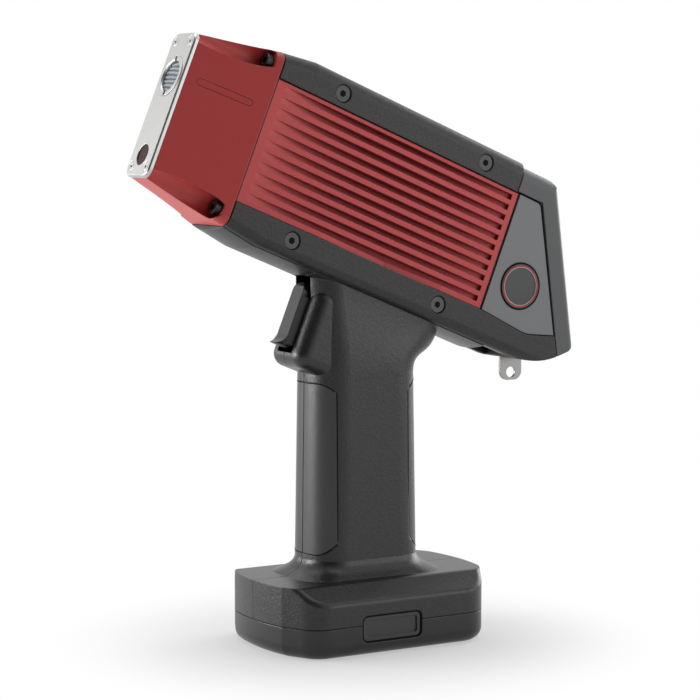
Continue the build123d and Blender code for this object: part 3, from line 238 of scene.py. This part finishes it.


# base and shade are the two slow tones; speck, bump and grain make the moulded surface;
# edge, rub and rubAndHighlightAmount lighten the edges, partly as wear and partly as a painted
# highlight
finishes = {
    "railPlastic": {
        "base": (0.015, 0.0153, 0.0157), "shade": (0.021, 0.0214, 0.0219), "rough": (0.34, 0.46),
        "grain": 1150, "pit": 600, "bump": 0.00012, "speck": 2.2, "edge": 0.0007,
        "rubAndHighlight": (0.10, 0.10, 0.105), "rubAndHighlightAmount": 0.35, "gloss": 0.40,
    },
    "gripPlastic": {
        "base": (0.0105, 0.0108, 0.0112), "shade": (0.0155, 0.0158, 0.0163), "rough": (0.28, 0.38),
        "grain": 1150, "pit": 600, "bump": 0.00011, "speck": 2.2, "edge": 0.0006,
        "rubAndHighlight": (0.12, 0.12, 0.125), "rubAndHighlightAmount": 0.3, "gloss": 0.48, "seam": (0.00016, 0.00042),
    },
    "panelPlastic": {
        "base": (0.235, 0.242, 0.250), "shade": (0.256, 0.263, 0.270), "rough": (0.34, 0.42),
        "grain": 3000, "pit": 1500, "bump": 0.000008, "speck": 0.06, "edge": 0.0005,
        "rubAndHighlight": (0.3, 0.3, 0.31), "rubAndHighlightAmount": 0.25, "gloss": 0.4,
    },
    "padRubber": {
        "base": (0.026, 0.0265, 0.027), "shade": (0.031, 0.0315, 0.032), "rough": (0.30, 0.40),
        "grain": 3200, "pit": 900, "bump": 0.00003, "speck": 0.2, "edge": 0.0004,
        "rubAndHighlight": (0.12, 0.12, 0.13), "rubAndHighlightAmount": 0.2, "gloss": 0.55,
    },
    "noseRed": {
        "base": (0.56, 0.062, 0.060), "shade": (0.60, 0.069, 0.067), "rough": (0.33, 0.42),
        "grain": 2200, "pit": 800, "bump": 0.00001, "speck": 0.12, "edge": 0.0007,
        "rubAndHighlight": (0.55, 0.2, 0.2), "rubAndHighlightAmount": 0.35, "gloss": 0.30,
    },
    "sinkRed": {
        "base": (0.38, 0.038, 0.039), "shade": (0.44, 0.047, 0.048), "rough": (0.36, 0.46),
        "grain": 2600, "pit": 1400, "bump": 0.000012, "speck": 0.12, "edge": 0.0004,
        "rubAndHighlight": (0.75, 0.33, 0.33), "rubAndHighlightAmount": 0.45, "metal": 0.35, "gloss": 0.55,
    },
    "blackScrew": {
        "base": (0.030, 0.030, 0.032), "shade": (0.040, 0.040, 0.042), "rough": (0.30, 0.42),
        "grain": 2400, "pit": 1200, "bump": 0.00001, "speck": 0.1, "edge": 0.0003,
        "rubAndHighlight": (0.25, 0.25, 0.26), "rubAndHighlightAmount": 0.5, "metal": 0.8,
    },
    "screwSteel": {
        "base": (0.16, 0.16, 0.165), "shade": (0.20, 0.20, 0.205), "rough": (0.28, 0.40),
        "grain": 2400, "pit": 1200, "bump": 0.00001, "speck": 0.1, "edge": 0.0003,
        "rubAndHighlight": (0.6, 0.6, 0.6), "rubAndHighlightAmount": 0.5, "metal": 1.0,
    },
    "castAluminium": {
        "base": (0.55, 0.555, 0.56), "shade": (0.62, 0.625, 0.63), "rough": (0.32, 0.45),
        "grain": 1800, "pit": 900, "bump": 0.00001, "speck": 0.1, "edge": 0.0004,
        "rubAndHighlight": (0.8, 0.8, 0.8), "rubAndHighlightAmount": 0.3, "metal": 1.0,
    },
    "gasketRubber": {
        "base": (0.012, 0.012, 0.013), "shade": (0.016, 0.016, 0.017), "rough": (0.6, 0.75),
        "grain": 2400, "pit": 900, "bump": 0.00003, "speck": 0.2, "edge": 0.0003,
        "rubAndHighlight": (0.05, 0.05, 0.05), "rubAndHighlightAmount": 0.1,
    },
    "boardGreen": {
        "base": (0.02, 0.13, 0.05), "shade": (0.03, 0.16, 0.07), "rough": (0.35, 0.45),
        "grain": 1200, "pit": 500, "bump": 0.00002, "speck": 0.3, "edge": 0.0002,
        "rubAndHighlight": (0.2, 0.3, 0.2), "rubAndHighlightAmount": 0.1,
    },
    "cellSleeve": {
        "base": (0.03, 0.09, 0.26), "shade": (0.04, 0.11, 0.30), "rough": (0.22, 0.32),
        "grain": 900, "pit": 300, "bump": 0.00001, "speck": 0.05, "edge": 0.0004,
        "rubAndHighlight": (0.1, 0.2, 0.4), "rubAndHighlightAmount": 0.2,
    },
    "pottingResin": {
        "base": (0.06, 0.06, 0.07), "shade": (0.08, 0.08, 0.09), "rough": (0.4, 0.55),
        "grain": 1200, "pit": 400, "bump": 0.00004, "speck": 0.2, "edge": 0.0005,
        "rubAndHighlight": (0.12, 0.12, 0.13), "rubAndHighlightAmount": 0.2,
    },
    "contactGold": {
        "base": (0.75, 0.55, 0.22), "shade": (0.8, 0.6, 0.28), "rough": (0.2, 0.3), "grain": 2400,
        "pit": 1200, "bump": 0.000006, "speck": 0.05, "edge": 0.0002, "rubAndHighlight": (0.9, 0.75, 0.4),
        "rubAndHighlightAmount": 0.3, "metal": 1.0,
    },
    "keyPlastic": {
        "base": (0.030, 0.0305, 0.031), "shade": (0.036, 0.0365, 0.037), "rough": (0.3, 0.4),
        "grain": 2600, "pit": 1200, "bump": 0.00001, "speck": 0.1, "edge": 0.0004,
        "rubAndHighlight": (0.15, 0.15, 0.16), "rubAndHighlightAmount": 0.2,
    },
    "rearPlastic": {
        "base": (0.112, 0.115, 0.118), "shade": (0.124, 0.127, 0.131), "rough": (0.36, 0.46),
        "grain": 2600, "pit": 1200, "bump": 0.00001, "speck": 0.08, "edge": 0.0006,
        "rubAndHighlight": (0.22, 0.22, 0.23), "rubAndHighlightAmount": 0.3, "gloss": 0.4,
    },
    "casePlastic": {
        "base": (0.0100, 0.0104, 0.0110), "shade": (0.0135, 0.0139, 0.0145), "rough": (0.25, 0.34),
        "grain": 2600, "pit": 1200, "bump": 0.000012, "speck": 0.12, "edge": 0.0006,
        "rubAndHighlight": (0.10, 0.10, 0.105), "rubAndHighlightAmount": 0.35, "gloss": 0.48,
    },
    "badgeGray": {
        "base": (0.030, 0.032, 0.035), "shade": (0.036, 0.038, 0.041), "rough": (0.26, 0.34),
        "grain": 3000, "pit": 1500, "bump": 0.000004, "speck": 0.05, "edge": 0.0003,
        "rubAndHighlight": (0.2, 0.2, 0.2), "rubAndHighlightAmount": 0.1, "gloss": 0.5,
    },
    "badgeRed": {
        "base": (0.50, 0.045, 0.050), "shade": (0.56, 0.060, 0.065), "rough": (0.28, 0.38),
        "grain": 3000, "pit": 1500, "bump": 0.000004, "speck": 0.08, "edge": 0.0002,
        "rubAndHighlight": (0.8, 0.4, 0.4), "rubAndHighlightAmount": 0.2,
    },
    # pale line just inside the badge's red ring: a painted highlight on that ring
    "badgeRingHighlight": {
        "base": (0.72, 0.60, 0.60), "shade": (0.80, 0.72, 0.72), "rough": (0.3, 0.4), "grain": 3000,
        "pit": 1500, "bump": 0.000004, "speck": 0.05, "edge": 0.0002, "rubAndHighlight": (0.9, 0.85, 0.85),
        "rubAndHighlightAmount": 0.1,
    },
    # black for joints and gaps, also used as painted shade in the screw sockets and round the screw
    # heads
    "seamAndShadeBlack": {
        "base": (0.0035, 0.0035, 0.004), "shade": (0.006, 0.006, 0.0065), "rough": (0.6, 0.8),
        "grain": 2600, "pit": 1200, "bump": 0.00001, "speck": 0.2, "edge": 0.0002,
        "rubAndHighlight": (0.02, 0.02, 0.02), "rubAndHighlightAmount": 0.1, "gloss": 0.1,
    },
    "screwGray": {
        "base": (0.095, 0.095, 0.097), "shade": (0.115, 0.115, 0.117), "rough": (0.40, 0.52),
        "grain": 2600, "pit": 1300, "bump": 0.00001, "speck": 0.15, "edge": 0.0003,
        "rubAndHighlight": (0.30, 0.30, 0.30), "rubAndHighlightAmount": 0.5, "gloss": 0.4,
    },
    "lightLens": {
        "base": (0.56, 0.062, 0.060), "shade": (0.60, 0.069, 0.067), "rough": (0.33, 0.42),
        "grain": 2200, "pit": 800, "bump": 0.00001, "speck": 0.05, "edge": 0.0003,
        "rubAndHighlight": (0.4, 0.1, 0.1), "rubAndHighlightAmount": 0.2, "gloss": 0.30,
    },
}


seamLine = {"color": (0.001, 0.001, 0.001), "depth": 3.0}


def makeFinish(name, spec):
    material, tree, shader = newMaterial(name)
    link = tree.links.new
    place = addNode(tree, "ShaderNodeTexCoord").outputs["Object"]
    tone = addNode(tree, "ShaderNodeGroup", node_tree=groups["tone"])
    tone.inputs["Base"].default_value = (*spec["base"], 1.0)
    tone.inputs["Shade"].default_value = (*spec["shade"], 1.0)
    tone.inputs["Speck Scale"].default_value = spec["grain"]
    tone.inputs["Speck Amount"].default_value = spec["speck"]
    edge = addNode(tree, "ShaderNodeGroup", node_tree=groups["edge"])
    edge.inputs["Radius"].default_value = spec["edge"]
    grain = addNode(tree, "ShaderNodeGroup", node_tree=groups["grain"])
    grain.inputs["Grain Scale"].default_value = spec["grain"]
    grain.inputs["Pit Scale"].default_value = spec["pit"]
    for group in (tone, edge, grain):
        link(place, group.inputs["Vector"])
    # edges lighten towards the rub colour: partly wear, partly a painted highlight along each edge
    wornAndHighlit = mathNode(tree, "MULTIPLY", edge.outputs["Mask"], spec["rubAndHighlightAmount"])
    colour = mixColour(tree, wornAndHighlit, tone.outputs["Color"], spec["rubAndHighlight"])
    height = grain.outputs["Height"]
    if "seam" in spec:
        # dark parting line where the two halves meet
        apart = addNode(tree, "ShaderNodeSeparateXYZ")
        link(place, apart.inputs["Vector"])
        near = addNode(tree, "ShaderNodeMapRange", interpolation_type="SMOOTHSTEP")
        ends = zip(("From Min", "From Max", "To Min", "To Max"), (*spec["seam"], 1.0, 0.0))
        for label, value in ends:
            near.inputs[label].default_value = value
        link(mathNode(tree, "ABSOLUTE", apart.outputs["Y"], None), near.inputs["Value"])
        colour = mixColour(tree, near.outputs["Result"], colour, seamLine["color"])
        groove = mathNode(tree, "MULTIPLY", near.outputs["Result"], seamLine["depth"])
        height = mathNode(tree, "SUBTRACT", height, groove)
    link(colour, shader.inputs["Base Color"])
    link(spread(tree, grain.outputs["Mask"], *spec["rough"]), shader.inputs["Roughness"])
    bump = addNode(tree, "ShaderNodeBump")
    bump.inputs["Distance"].default_value = spec["bump"]
    link(height, bump.inputs["Height"])
    link(edge.outputs["Normal"], bump.inputs["Normal"])
    link(bump.outputs["Normal"], shader.inputs["Normal"])
    shader.inputs["Metallic"].default_value = spec.get("metal", 0.0)
    shader.inputs["Specular IOR Level"].default_value = spec.get("gloss", 0.5)
    return material


materials = {name: makeFinish(name, spec) for name, spec in finishes.items()}


brushed = {
    "base": (0.46, 0.458, 0.45), "shade": (0.56, 0.557, 0.545), "rough": (0.26, 0.40),
    "lines": 5200.0, "bump": 0.000004, "edge": 0.0004, "stretch": (0.02, 1.0, 0.02),
}
tabBrushed = dict(
    brushed, base=(0.24, 0.235, 0.225), shade=(0.31, 0.305, 0.295), stretch=(0.03, 1.0, 1.0),
)


def makeBrushed(name, spec):
    # brushed steel: noise pulled into long fine lines
    material, tree, shader = newMaterial(name)
    link = tree.links.new
    place = addNode(tree, "ShaderNodeTexCoord").outputs["Object"]
    mapping = addNode(tree, "ShaderNodeMapping")
    mapping.inputs["Scale"].default_value = spec["stretch"]
    link(place, mapping.inputs["Vector"])
    lines = noiseNode(tree, mapping.outputs["Vector"], spec["lines"])
    tint = mixColour(tree, lines.outputs["Fac"], spec["base"], spec["shade"])
    link(tint, shader.inputs["Base Color"])
    link(spread(tree, lines.outputs["Fac"], *spec["rough"]), shader.inputs["Roughness"])
    edge = addNode(tree, "ShaderNodeGroup", node_tree=groups["edge"])
    edge.inputs["Radius"].default_value = spec["edge"]
    link(place, edge.inputs["Vector"])
    bump = addNode(tree, "ShaderNodeBump")
    bump.inputs["Distance"].default_value = spec["bump"]
    link(lines.outputs["Fac"], bump.inputs["Height"])
    link(edge.outputs["Normal"], bump.inputs["Normal"])
    link(bump.outputs["Normal"], shader.inputs["Normal"])
    shader.inputs["Metallic"].default_value = 1.0
    return material


materials["plateSteel"] = makeBrushed("plateSteel", brushed)
materials["tabSteel"] = makeBrushed("tabSteel", tabBrushed)


glasses = {
    "coverGlass": {
        "tint": (0.012, 0.014, 0.018), "lift": 1.5, "rough": (0.05, 0.12),
        "smudge": 40.0, "gloss": 0.12,
    },
    "lensGlass": {
        "tint": (0.030, 0.009, 0.008), "lift": 1.5, "rough": (0.12, 0.25),
        "smudge": 120.0, "gloss": 0.12,
    },
}


def makeGlass(name, spec):
    # dark glass with faint smudges in its gloss
    material, tree, shader = newMaterial(name)
    link = tree.links.new
    place = addNode(tree, "ShaderNodeTexCoord").outputs["Object"]
    tone = addNode(tree, "ShaderNodeGroup", node_tree=groups["tone"])
    tone.inputs["Base"].default_value = (*spec["tint"], 1.0)
    tone.inputs["Shade"].default_value = (*(part * spec["lift"] for part in spec["tint"]), 1.0)
    link(place, tone.inputs["Vector"])
    link(tone.outputs["Color"], shader.inputs["Base Color"])
    smudge = noiseNode(tree, place, spec["smudge"])
    link(spread(tree, smudge.outputs["Fac"], *spec["rough"]), shader.inputs["Roughness"])
    shader.inputs["Specular IOR Level"].default_value = spec["gloss"]
    return material


materials.update({name: makeGlass(name, spec) for name, spec in glasses.items()})


film = {
    "dark": (0.020, 0.026, 0.032), "light": (0.30, 0.35, 0.40), "rough": (0.14, 0.30),
    "turn": (0.0, 0.25, -0.85), "bump": 0.00004,
    "waves": {"Scale": 210.0, "Distortion": 3.5, "Detail": 2.0, "Detail Scale": 0.8},
}


def makeFilm(name, spec):
    # thin crinkled film of the window
    material, tree, shader = newMaterial(name)
    link = tree.links.new
    mapping = addNode(tree, "ShaderNodeMapping")
    mapping.inputs["Rotation"].default_value = spec["turn"]
    link(addNode(tree, "ShaderNodeTexCoord").outputs["Object"], mapping.inputs["Vector"])
    bands = addNode(tree, "ShaderNodeTexWave", bands_direction="Z")
    for label, value in spec["waves"].items():
        bands.inputs[label].default_value = value
    link(mapping.outputs["Vector"], bands.inputs["Vector"])
    tint = mixColour(tree, bands.outputs["Fac"], spec["dark"], spec["light"])
    link(tint, shader.inputs["Base Color"])
    link(spread(tree, bands.outputs["Fac"], *spec["rough"]), shader.inputs["Roughness"])
    bump = addNode(tree, "ShaderNodeBump")
    bump.inputs["Distance"].default_value = spec["bump"]
    link(bands.outputs["Fac"], bump.inputs["Height"])
    link(bump.outputs["Normal"], shader.inputs["Normal"])
    return material


materials["windowFilm"] = makeFilm("windowFilm", film)
print("materials made:", len(materials))


# which pieces of the frame carry each finish
dressing = {
    "railPlastic": ["left_side_frame", "right_side_frame"],
    "rearPlastic": ["rear_housing"],
    "gripPlastic": ["left_grip_shell", "right_grip_shell"],
    "casePlastic": ["battery_case", "trigger"],
    "panelPlastic": ["left_side_panel", "right_side_panel"],
    "badgeGray": ["left_badge", "right_badge"],
    "screwGray": ["left_side_screws", "right_side_screws"],
    "padRubber": ["left_front_pad", "right_front_pad", "left_rear_pad", "right_rear_pad"],
    "noseRed": ["nose_housing"],
    "lightLens": ["left_status_light", "right_status_light"],
    "sinkRed": ["left_heat_sink", "right_heat_sink"],
    "blackScrew": ["nose_screws", "grip_screws"],
    "screwSteel": [
        "trigger_pin", "trigger_spring", "left_latch_spring", "right_latch_spring",
        "port_sockets", "detector", "window_grid",
    ],
    "castAluminium": ["chassis", "xray_tube", "shutter", "shutter_guide", "shutter_motor"],
    "gasketRubber": ["nose_gasket", "port_plate"],
    "boardGreen": ["main_board", "key_board"],
    "cellSleeve": ["battery_cells"],
    "contactGold": ["battery_contacts"],
    "pottingResin": ["high_voltage_supply", "camera_module", "display_module", "trigger_switch"],
    "keyPlastic": ["back_key", "power_key", "menu_key", "left_latch_key", "right_latch_key"],
    "plateSteel": ["front_plate", "window_retainer", "front_plate_screws"],
    "tabSteel": ["lanyard_tab"],
    "coverGlass": ["display_glass"],
    "lensGlass": ["camera_lens"],
    "windowFilm": ["window_film"],
}


def dress():
    done = set()
    for finish, names in dressing.items():
        for name in names:
            for slot in nodes[name].material_slots:
                slot.material = materials[finish]
            done.add(name)
    print("dressed", len(done), "of", len(nodes), "nodes; left bare:", sorted(set(nodes) - done))


dress()


rim = {"turn": 0.8, "facing": 0.5, "weld": 0.00002}  # turn in radians


def rimLoops(nodeName, outward):
    # chains of points along the sharp outer edge of a node, in mesh order so that each run agrees
    source = bmesh.new()
    source.from_mesh(nodes[nodeName].data)
    bmesh.ops.remove_doubles(source, verts=source.verts, dist=rim["weld"])
    sharp = []
    for edge in source.edges:
        if len(edge.link_faces) != 2 or edge.calc_face_angle(0.0) < rim["turn"]:
            continue
        middle = (edge.verts[0].co + edge.verts[1].co) / 2
        if max(face.normal.dot(outward(middle)) for face in edge.link_faces) > rim["facing"]:
            sharp.append(edge)
    loops, unused = [], set(sharp)
    for edge in sharp:
        if edge not in unused:
            continue
        unused.discard(edge)
        chain = [edge.verts[0], edge.verts[1]]
        for end in (-1, 0):
            while True:
                options = [other for other in chain[end].link_edges if other in unused]
                if not options:
                    break
                unused.discard(options[0])
                vertex = options[0].other_vert(chain[end])
                chain.insert(len(chain) if end else 0, vertex)
        closed = len(chain) > 3 and chain[0] is chain[-1]
        kept = chain[:-1] if closed else chain
        loops.append(([vertex.co.copy() for vertex in kept], closed))
    source.free()
    return loops


def drawLine(name, loops, outward, spec, body):
    # a fine round line along the loops, sunk into the surface by spec["sink"]
    data = bpy.data.curves.new(name, "CURVE")
    data.dimensions = "3D"
    data.bevel_depth = spec["radius"]
    data.bevel_resolution = 1
    data.use_fill_caps = True
    for points, closed in loops:
        spline = data.splines.new("POLY")
        spline.points.add(len(points) - 1)
        for place, point in zip(spline.points, points):
            place.co = (*(point - outward(point) * spec["sink"]), 1.0)
        spline.use_cyclic_u = closed
    data.materials.append(materials[spec["finish"]])
    line = bpy.data.objects.new(name, data)
    bpy.context.scene.collection.objects.link(line)
    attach(line, body)


handleMiddle = 0.0016  # x of the handle's middle line


def fromHandle(point):
    return Vector((point.x - handleMiddle, point.y, 0.0)).normalized()


def sideWay(side):
    return lambda point: Vector((0.0, side, 0.0))


sides = (("left", -1.0), ("right", 1.0))
jointLines = {
    "panel": {"nodes": ("side_panel",), "radius": 0.00022, "sink": 0.00012},
    "pad": {"nodes": ("front_pad", "rear_pad"), "radius": 0.00034, "sink": 0.00018},
    "latch": {"nodes": ("latch_key",), "radius": 0.00062, "sink": 0.00008},
    "sink": {"nodes": ("heat_sink",), "radius": 0.00020, "sink": 0.00015},
}
jointLook = {"finish": "seamAndShadeBlack", "slot": "frame_black"}


def loopSize(loop):
    # diagonal of the loop's bounding box, the same whichever point comes first
    spans = [max(values) - min(values) for values in zip(*loop[0])]
    return Vector(spans).length


def drawJoints():
    for side, sign in sides:
        for kind, spec in jointLines.items():
            for part in spec["nodes"]:
                nodeName = side + "_" + part
                outward = fromHandle if kind == "pad" else sideWay(sign)
                loops = rimLoops(nodeName, outward)
                if kind != "pad":
                    loops = [max(loops, key=loopSize)]
                body = side + "_latch" if kind == "latch" else "housing"
                lineName = side + part.title().replace("_", "") + "Line"
                drawLine(lineName, loops, outward, {**spec, **jointLook}, body)
    print("joint lines drawn")


drawJoints()


# rings of the badge: middle radius and half width in metres
badge = {
    "segments": 96,
    "sunk": 0.55,  # share of the half width
    "rings": {
        "Red": {"middle": 0.00918, "radius": 0.00044, "finish": "badgeRed"},
        # the pale ring just inside the red one is a painted highlight on the red ring
        "Line": {"middle": 0.00862, "radius": 0.00018, "finish": "badgeRingHighlight"},
        "Gap": {"middle": 0.01030, "radius": 0.00046, "finish": "seamAndShadeBlack"},
    },
}
quarterTurn = Matrix.Rotation(math.pi / 2, 3, "X")  # stands a flat shape up to face sideways


def circleLoop(centre, radius, segments):
    ring = bmesh.new()
    bmesh.ops.create_circle(ring, segments=segments, radius=radius)
    bmesh.ops.rotate(ring, verts=ring.verts, matrix=quarterTurn)
    bmesh.ops.translate(ring, verts=ring.verts, vec=centre)
    points = [vertex.co.copy() for vertex in ring.verts]
    ring.free()
    return [(points, True)]


def makeBadges():
    for side, sign in sides:
        low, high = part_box(side + "_badge")
        face = low[1] if sign < 0 else high[1]
        centre = Vector(((low[0] + high[0]) / 2, face, (low[2] + high[2]) / 2))
        for label, ring in badge["rings"].items():
            spec = {**ring, "sink": ring["radius"] * badge["sunk"], "slot": "panel_gray"}
            loop = circleLoop(centre, ring["middle"], badge["segments"])
            drawLine(side + "Badge" + label, loop, sideWay(sign), spec, "housing")
    print("badges ringed")


makeBadges()


screwTrim = {
    # black ring round the screw head: partly the real gap, partly painted shadow of the recess rim
    "gap": {"radius": 0.00034, "sink": 0.00012, "finish": "seamAndShadeBlack", "slot": "black_screw"},
    "ringOut": 0.00012,
    "segments": 48,
    "leastHead": 0.003,  # smaller loops on a screw are its socket, not its head
    # radius of the dark hexagon, painted shade inside the key socket
    "socket": 0.00155,
    "proud": 0.00004,
    "thick": 0.0004,
}


def addPiece(name, shape, finish, body):
    mesh = bpy.data.meshes.new(name)
    bmesh.ops.recalc_face_normals(shape, faces=shape.faces)
    shape.to_mesh(mesh)
    shape.free()
    mesh.materials.append(materials[finish])
    piece = bpy.data.objects.new(name, mesh)
    bpy.context.scene.collection.objects.link(piece)
    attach(piece, body)


def trimScrews():
    # black ring round each side screw, partly its real gap and partly painted shadow of the recess
    # rim, and a dark hexagon in its key socket as painted shade
    shift = screwTrim["proud"] - screwTrim["thick"] / 2
    for side, sign in sides:
        rings = []
        socketShades = bmesh.new()
        for points, closed in rimLoops(side + "_side_screws", sideWay(sign)):
            centre = sum(points, Vector()) / len(points)
            radius = sum((point - centre).length for point in points) / len(points)
            if not closed or radius < screwTrim["leastHead"]:
                continue
            # black ring: the real gap with painted shadow of the recess rim
            rings += circleLoop(centre, radius + screwTrim["ringOut"], screwTrim["segments"])
            # dark hexagon: painted shade inside the key socket
            made = bmesh.ops.create_cone(
                socketShades, cap_ends=True, segments=6, radius1=screwTrim["socket"],
                radius2=screwTrim["socket"], depth=screwTrim["thick"],
            )["verts"]
            bmesh.ops.rotate(socketShades, verts=made, matrix=quarterTurn)
            bmesh.ops.translate(socketShades, verts=made, vec=centre + Vector((0.0, sign * shift, 0.0)))
        drawLine(side + "ScrewGapsAndShadow", rings, sideWay(sign), screwTrim["gap"], "housing")
        addPiece(side + "ScrewSocketShades", socketShades, "seamAndShadeBlack", "housing")
    print("side screws trimmed")


trimScrews()


notch = {
    "inner": 0.0068, "outer": 0.0088, "width": 0.0010, "thick": 0.0006, "proud": 0.00006,
    "bevel": 0.00012, "ringHalf": 0.0006, "lean": 22.1,  # the nose leans back by this many degrees
}


def makeNotches():
    # two spanner slots across the window ring
    low, high = (Vector(corner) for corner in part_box("window_retainer"))
    centre = (low + high) / 2
    lean = Matrix.Rotation(math.radians(notch["lean"]), 3, "Y")
    ahead = lean @ Vector((-1.0, 0.0, 0.0))
    shape = bmesh.new()
    for way in (-1.0, 1.0):
        made = bmesh.ops.create_cube(shape, size=1.0)["verts"]
        size = (notch["thick"], notch["width"], notch["outer"] - notch["inner"])
        middle = (0.0, 0.0, way * (notch["outer"] + notch["inner"]) / 2)
        bmesh.ops.scale(shape, verts=made, vec=size)
        bmesh.ops.translate(shape, verts=made, vec=middle)
    bmesh.ops.bevel(
        shape, geom=shape.edges[:], affect="EDGES", offset=notch["bevel"],
        segments=2, profile=0.5, material=-1,
    )
    bmesh.ops.rotate(shape, verts=shape.verts, matrix=lean)
    forward = notch["ringHalf"] + notch["proud"] - notch["thick"] / 2
    bmesh.ops.translate(shape, verts=shape.verts, vec=centre + ahead * forward)
    addPiece("windowNotches", shape, "seamAndShadeBlack", "housing")
    print("window notches cut")


makeNotches()


# axis is 0 for x and 1 for y; seat is the end that stays put, 0 for low and 1 for high
springs = {
    "trigger_spring": {
        "body": "housing", "joint": "trigger_pull", "axis": 0, "seat": 1, "travel": 0.0046,
    },
    "left_latch_spring": {
        "body": "battery", "joint": "left_latch_press", "axis": 1, "seat": 1, "travel": 0.0021,
    },
    "right_latch_spring": {
        "body": "battery", "joint": "right_latch_press", "axis": 1, "seat": 0, "travel": 0.0021,
    },
}


def makeSprings():
    # a piece of its own for each coil, attached to the body given for it
    for nodeName, spec in springs.items():
        mesh = bpy.data.meshes.new(nodeName + "_coil")
        coil = bmesh.new()
        coil.from_mesh(nodes[nodeName].data)
        coil.to_mesh(mesh)
        coil.free()
        mesh.materials.append(materials["screwSteel"])
        piece = bpy.data.objects.new(nodeName + "_coil", mesh)
        bpy.context.scene.collection.objects.link(piece)
        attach(piece, spec["body"])
        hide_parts(nodeName)
        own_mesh(piece)
    print("springs made")


makeSprings()


studio = {
    "floorSize": 4.0,
    "floorColor": (0.90, 0.90, 0.90),
    "floorRough": 0.9,
    "shadowReach": (0.05, 0.14),  # where the floor starts and ends its fade to white
    "shadowSoftness": 0.45,  # share of white that it starts with
    "worldLight": 0.26,
    "dimSide": (-0.80, -0.55, 0.22),  # towards the open side, which has no white panels
    "dimStart": 0.35,
    "dimEnd": 0.90,
    "dimLevel": 0.08,
    "lampAim": (0.0, 0.0, 0.13),
    "lamps": {
        "leftPanel": {"place": (-1.25, 0.75, 0.32), "wide": 1.1, "high": 0.5, "power": 20.5},
        "topPanel": {"place": (0.15, 0.30, 1.60), "wide": 1.2, "high": 1.2, "power": 8.0},
        "rearPanel": {"place": (1.30, 0.30, 0.50), "wide": 0.8, "high": 0.9, "power": 8.0},
        "sideFill": {"place": (0.85, -0.85, 0.38), "wide": 0.9, "high": 0.6, "power": 2.8},
    },
}


def makeFloor(spec):
    mesh = bpy.data.meshes.new("studioFloor")
    grid = bmesh.new()
    bmesh.ops.create_grid(grid, x_segments=1, y_segments=1, size=spec["floorSize"])
    grid.to_mesh(mesh)
    grid.free()
    floor = bpy.data.objects.new("studioFloor", mesh)
    bpy.context.scene.collection.objects.link(floor)
    material, tree, shader = newMaterial("studioFloor")
    link = tree.links.new
    shader.inputs["Base Color"].default_value = (*spec["floorColor"], 1.0)
    shader.inputs["Roughness"].default_value = spec["floorRough"]
    shader.inputs["Specular IOR Level"].default_value = 0.0
    # past the object's shadow the floor runs out into the backdrop's white
    place = addNode(tree, "ShaderNodeTexCoord").outputs["Object"]
    length = addNode(tree, "ShaderNodeVectorMath", operation="LENGTH")
    link(place, length.inputs[0])
    fade = addNode(tree, "ShaderNodeMapRange", interpolation_type="SMOOTHSTEP")
    ends = zip(("From Min", "From Max", "To Min"), (*spec["shadowReach"], spec["shadowSoftness"]))
    for label, value in ends:
        fade.inputs[label].default_value = value
    link(length.outputs["Value"], fade.inputs["Value"])
    paths = addNode(tree, "ShaderNodeLightPath")
    seen = paths.outputs["Is Camera Ray"]
    for kind in ("Is Glossy Ray", "Is Transmission Ray"):
        seen = mathNode(tree, "MAXIMUM", seen, paths.outputs[kind])
    white = addNode(tree, "ShaderNodeEmission")
    blend = addNode(tree, "ShaderNodeMixShader")
    link(mathNode(tree, "MULTIPLY", seen, fade.outputs["Result"]), blend.inputs["Fac"])
    link(shader.outputs["BSDF"], blend.inputs[1])
    link(white.outputs["Emission"], blend.inputs[2])
    link(blend.outputs["Shader"], tree.nodes["Material Output"].inputs["Surface"])
    mesh.materials.append(material)


def makeWorld(spec):
    world = bpy.data.worlds.new("studioWorld")
    bpy.context.scene.world = world
    world.use_nodes = True
    tree = world.node_tree
    link = tree.links.new
    background = tree.nodes["Background"]
    background.inputs["Color"].default_value = (1.0, 1.0, 1.0, 1.0)
    paths = addNode(tree, "ShaderNodeLightPath")
    # white panels all round the object but for one open side
    toward = addNode(tree, "ShaderNodeVectorMath", operation="DOT_PRODUCT")
    link(addNode(tree, "ShaderNodeTexCoord").outputs["Generated"], toward.inputs[0])
    toward.inputs[1].default_value = Vector(spec["dimSide"]).normalized()
    panels = addNode(tree, "ShaderNodeMapRange", interpolation_type="SMOOTHSTEP")
    ends = (spec["dimStart"], spec["dimEnd"], 1.0, spec["dimLevel"])
    for label, value in zip(("From Min", "From Max", "To Min", "To Max"), ends):
        panels.inputs[label].default_value = value
    link(toward.outputs["Value"], panels.inputs["Value"])
    glossy, through = paths.outputs["Is Glossy Ray"], paths.outputs["Is Transmission Ray"]
    level = spread(tree, mathNode(tree, "MAXIMUM", glossy, through), spec["worldLight"], 1.0)
    lit = mathNode(tree, "MULTIPLY", level, panels.outputs["Result"])
    strength = mathNode(tree, "MAXIMUM", lit, paths.outputs["Is Camera Ray"])
    link(strength, background.inputs["Strength"])


def makeLamp(name, spec, aim):
    data = bpy.data.lights.new(name, "AREA")
    data.shape = "RECTANGLE"
    data.size = spec["wide"]
    data.size_y = spec["high"]
    data.energy = spec["power"]
    lamp = bpy.data.objects.new(name, data)
    bpy.context.scene.collection.objects.link(lamp)
    pointAt(lamp, spec["place"], aim)


makeFloor(studio)
makeWorld(studio)
for lampName, lampSpec in studio["lamps"].items():
    makeLamp(lampName, lampSpec, studio["lampAim"])
bpy.context.scene.view_settings.view_transform = "Standard"
print("studio made")
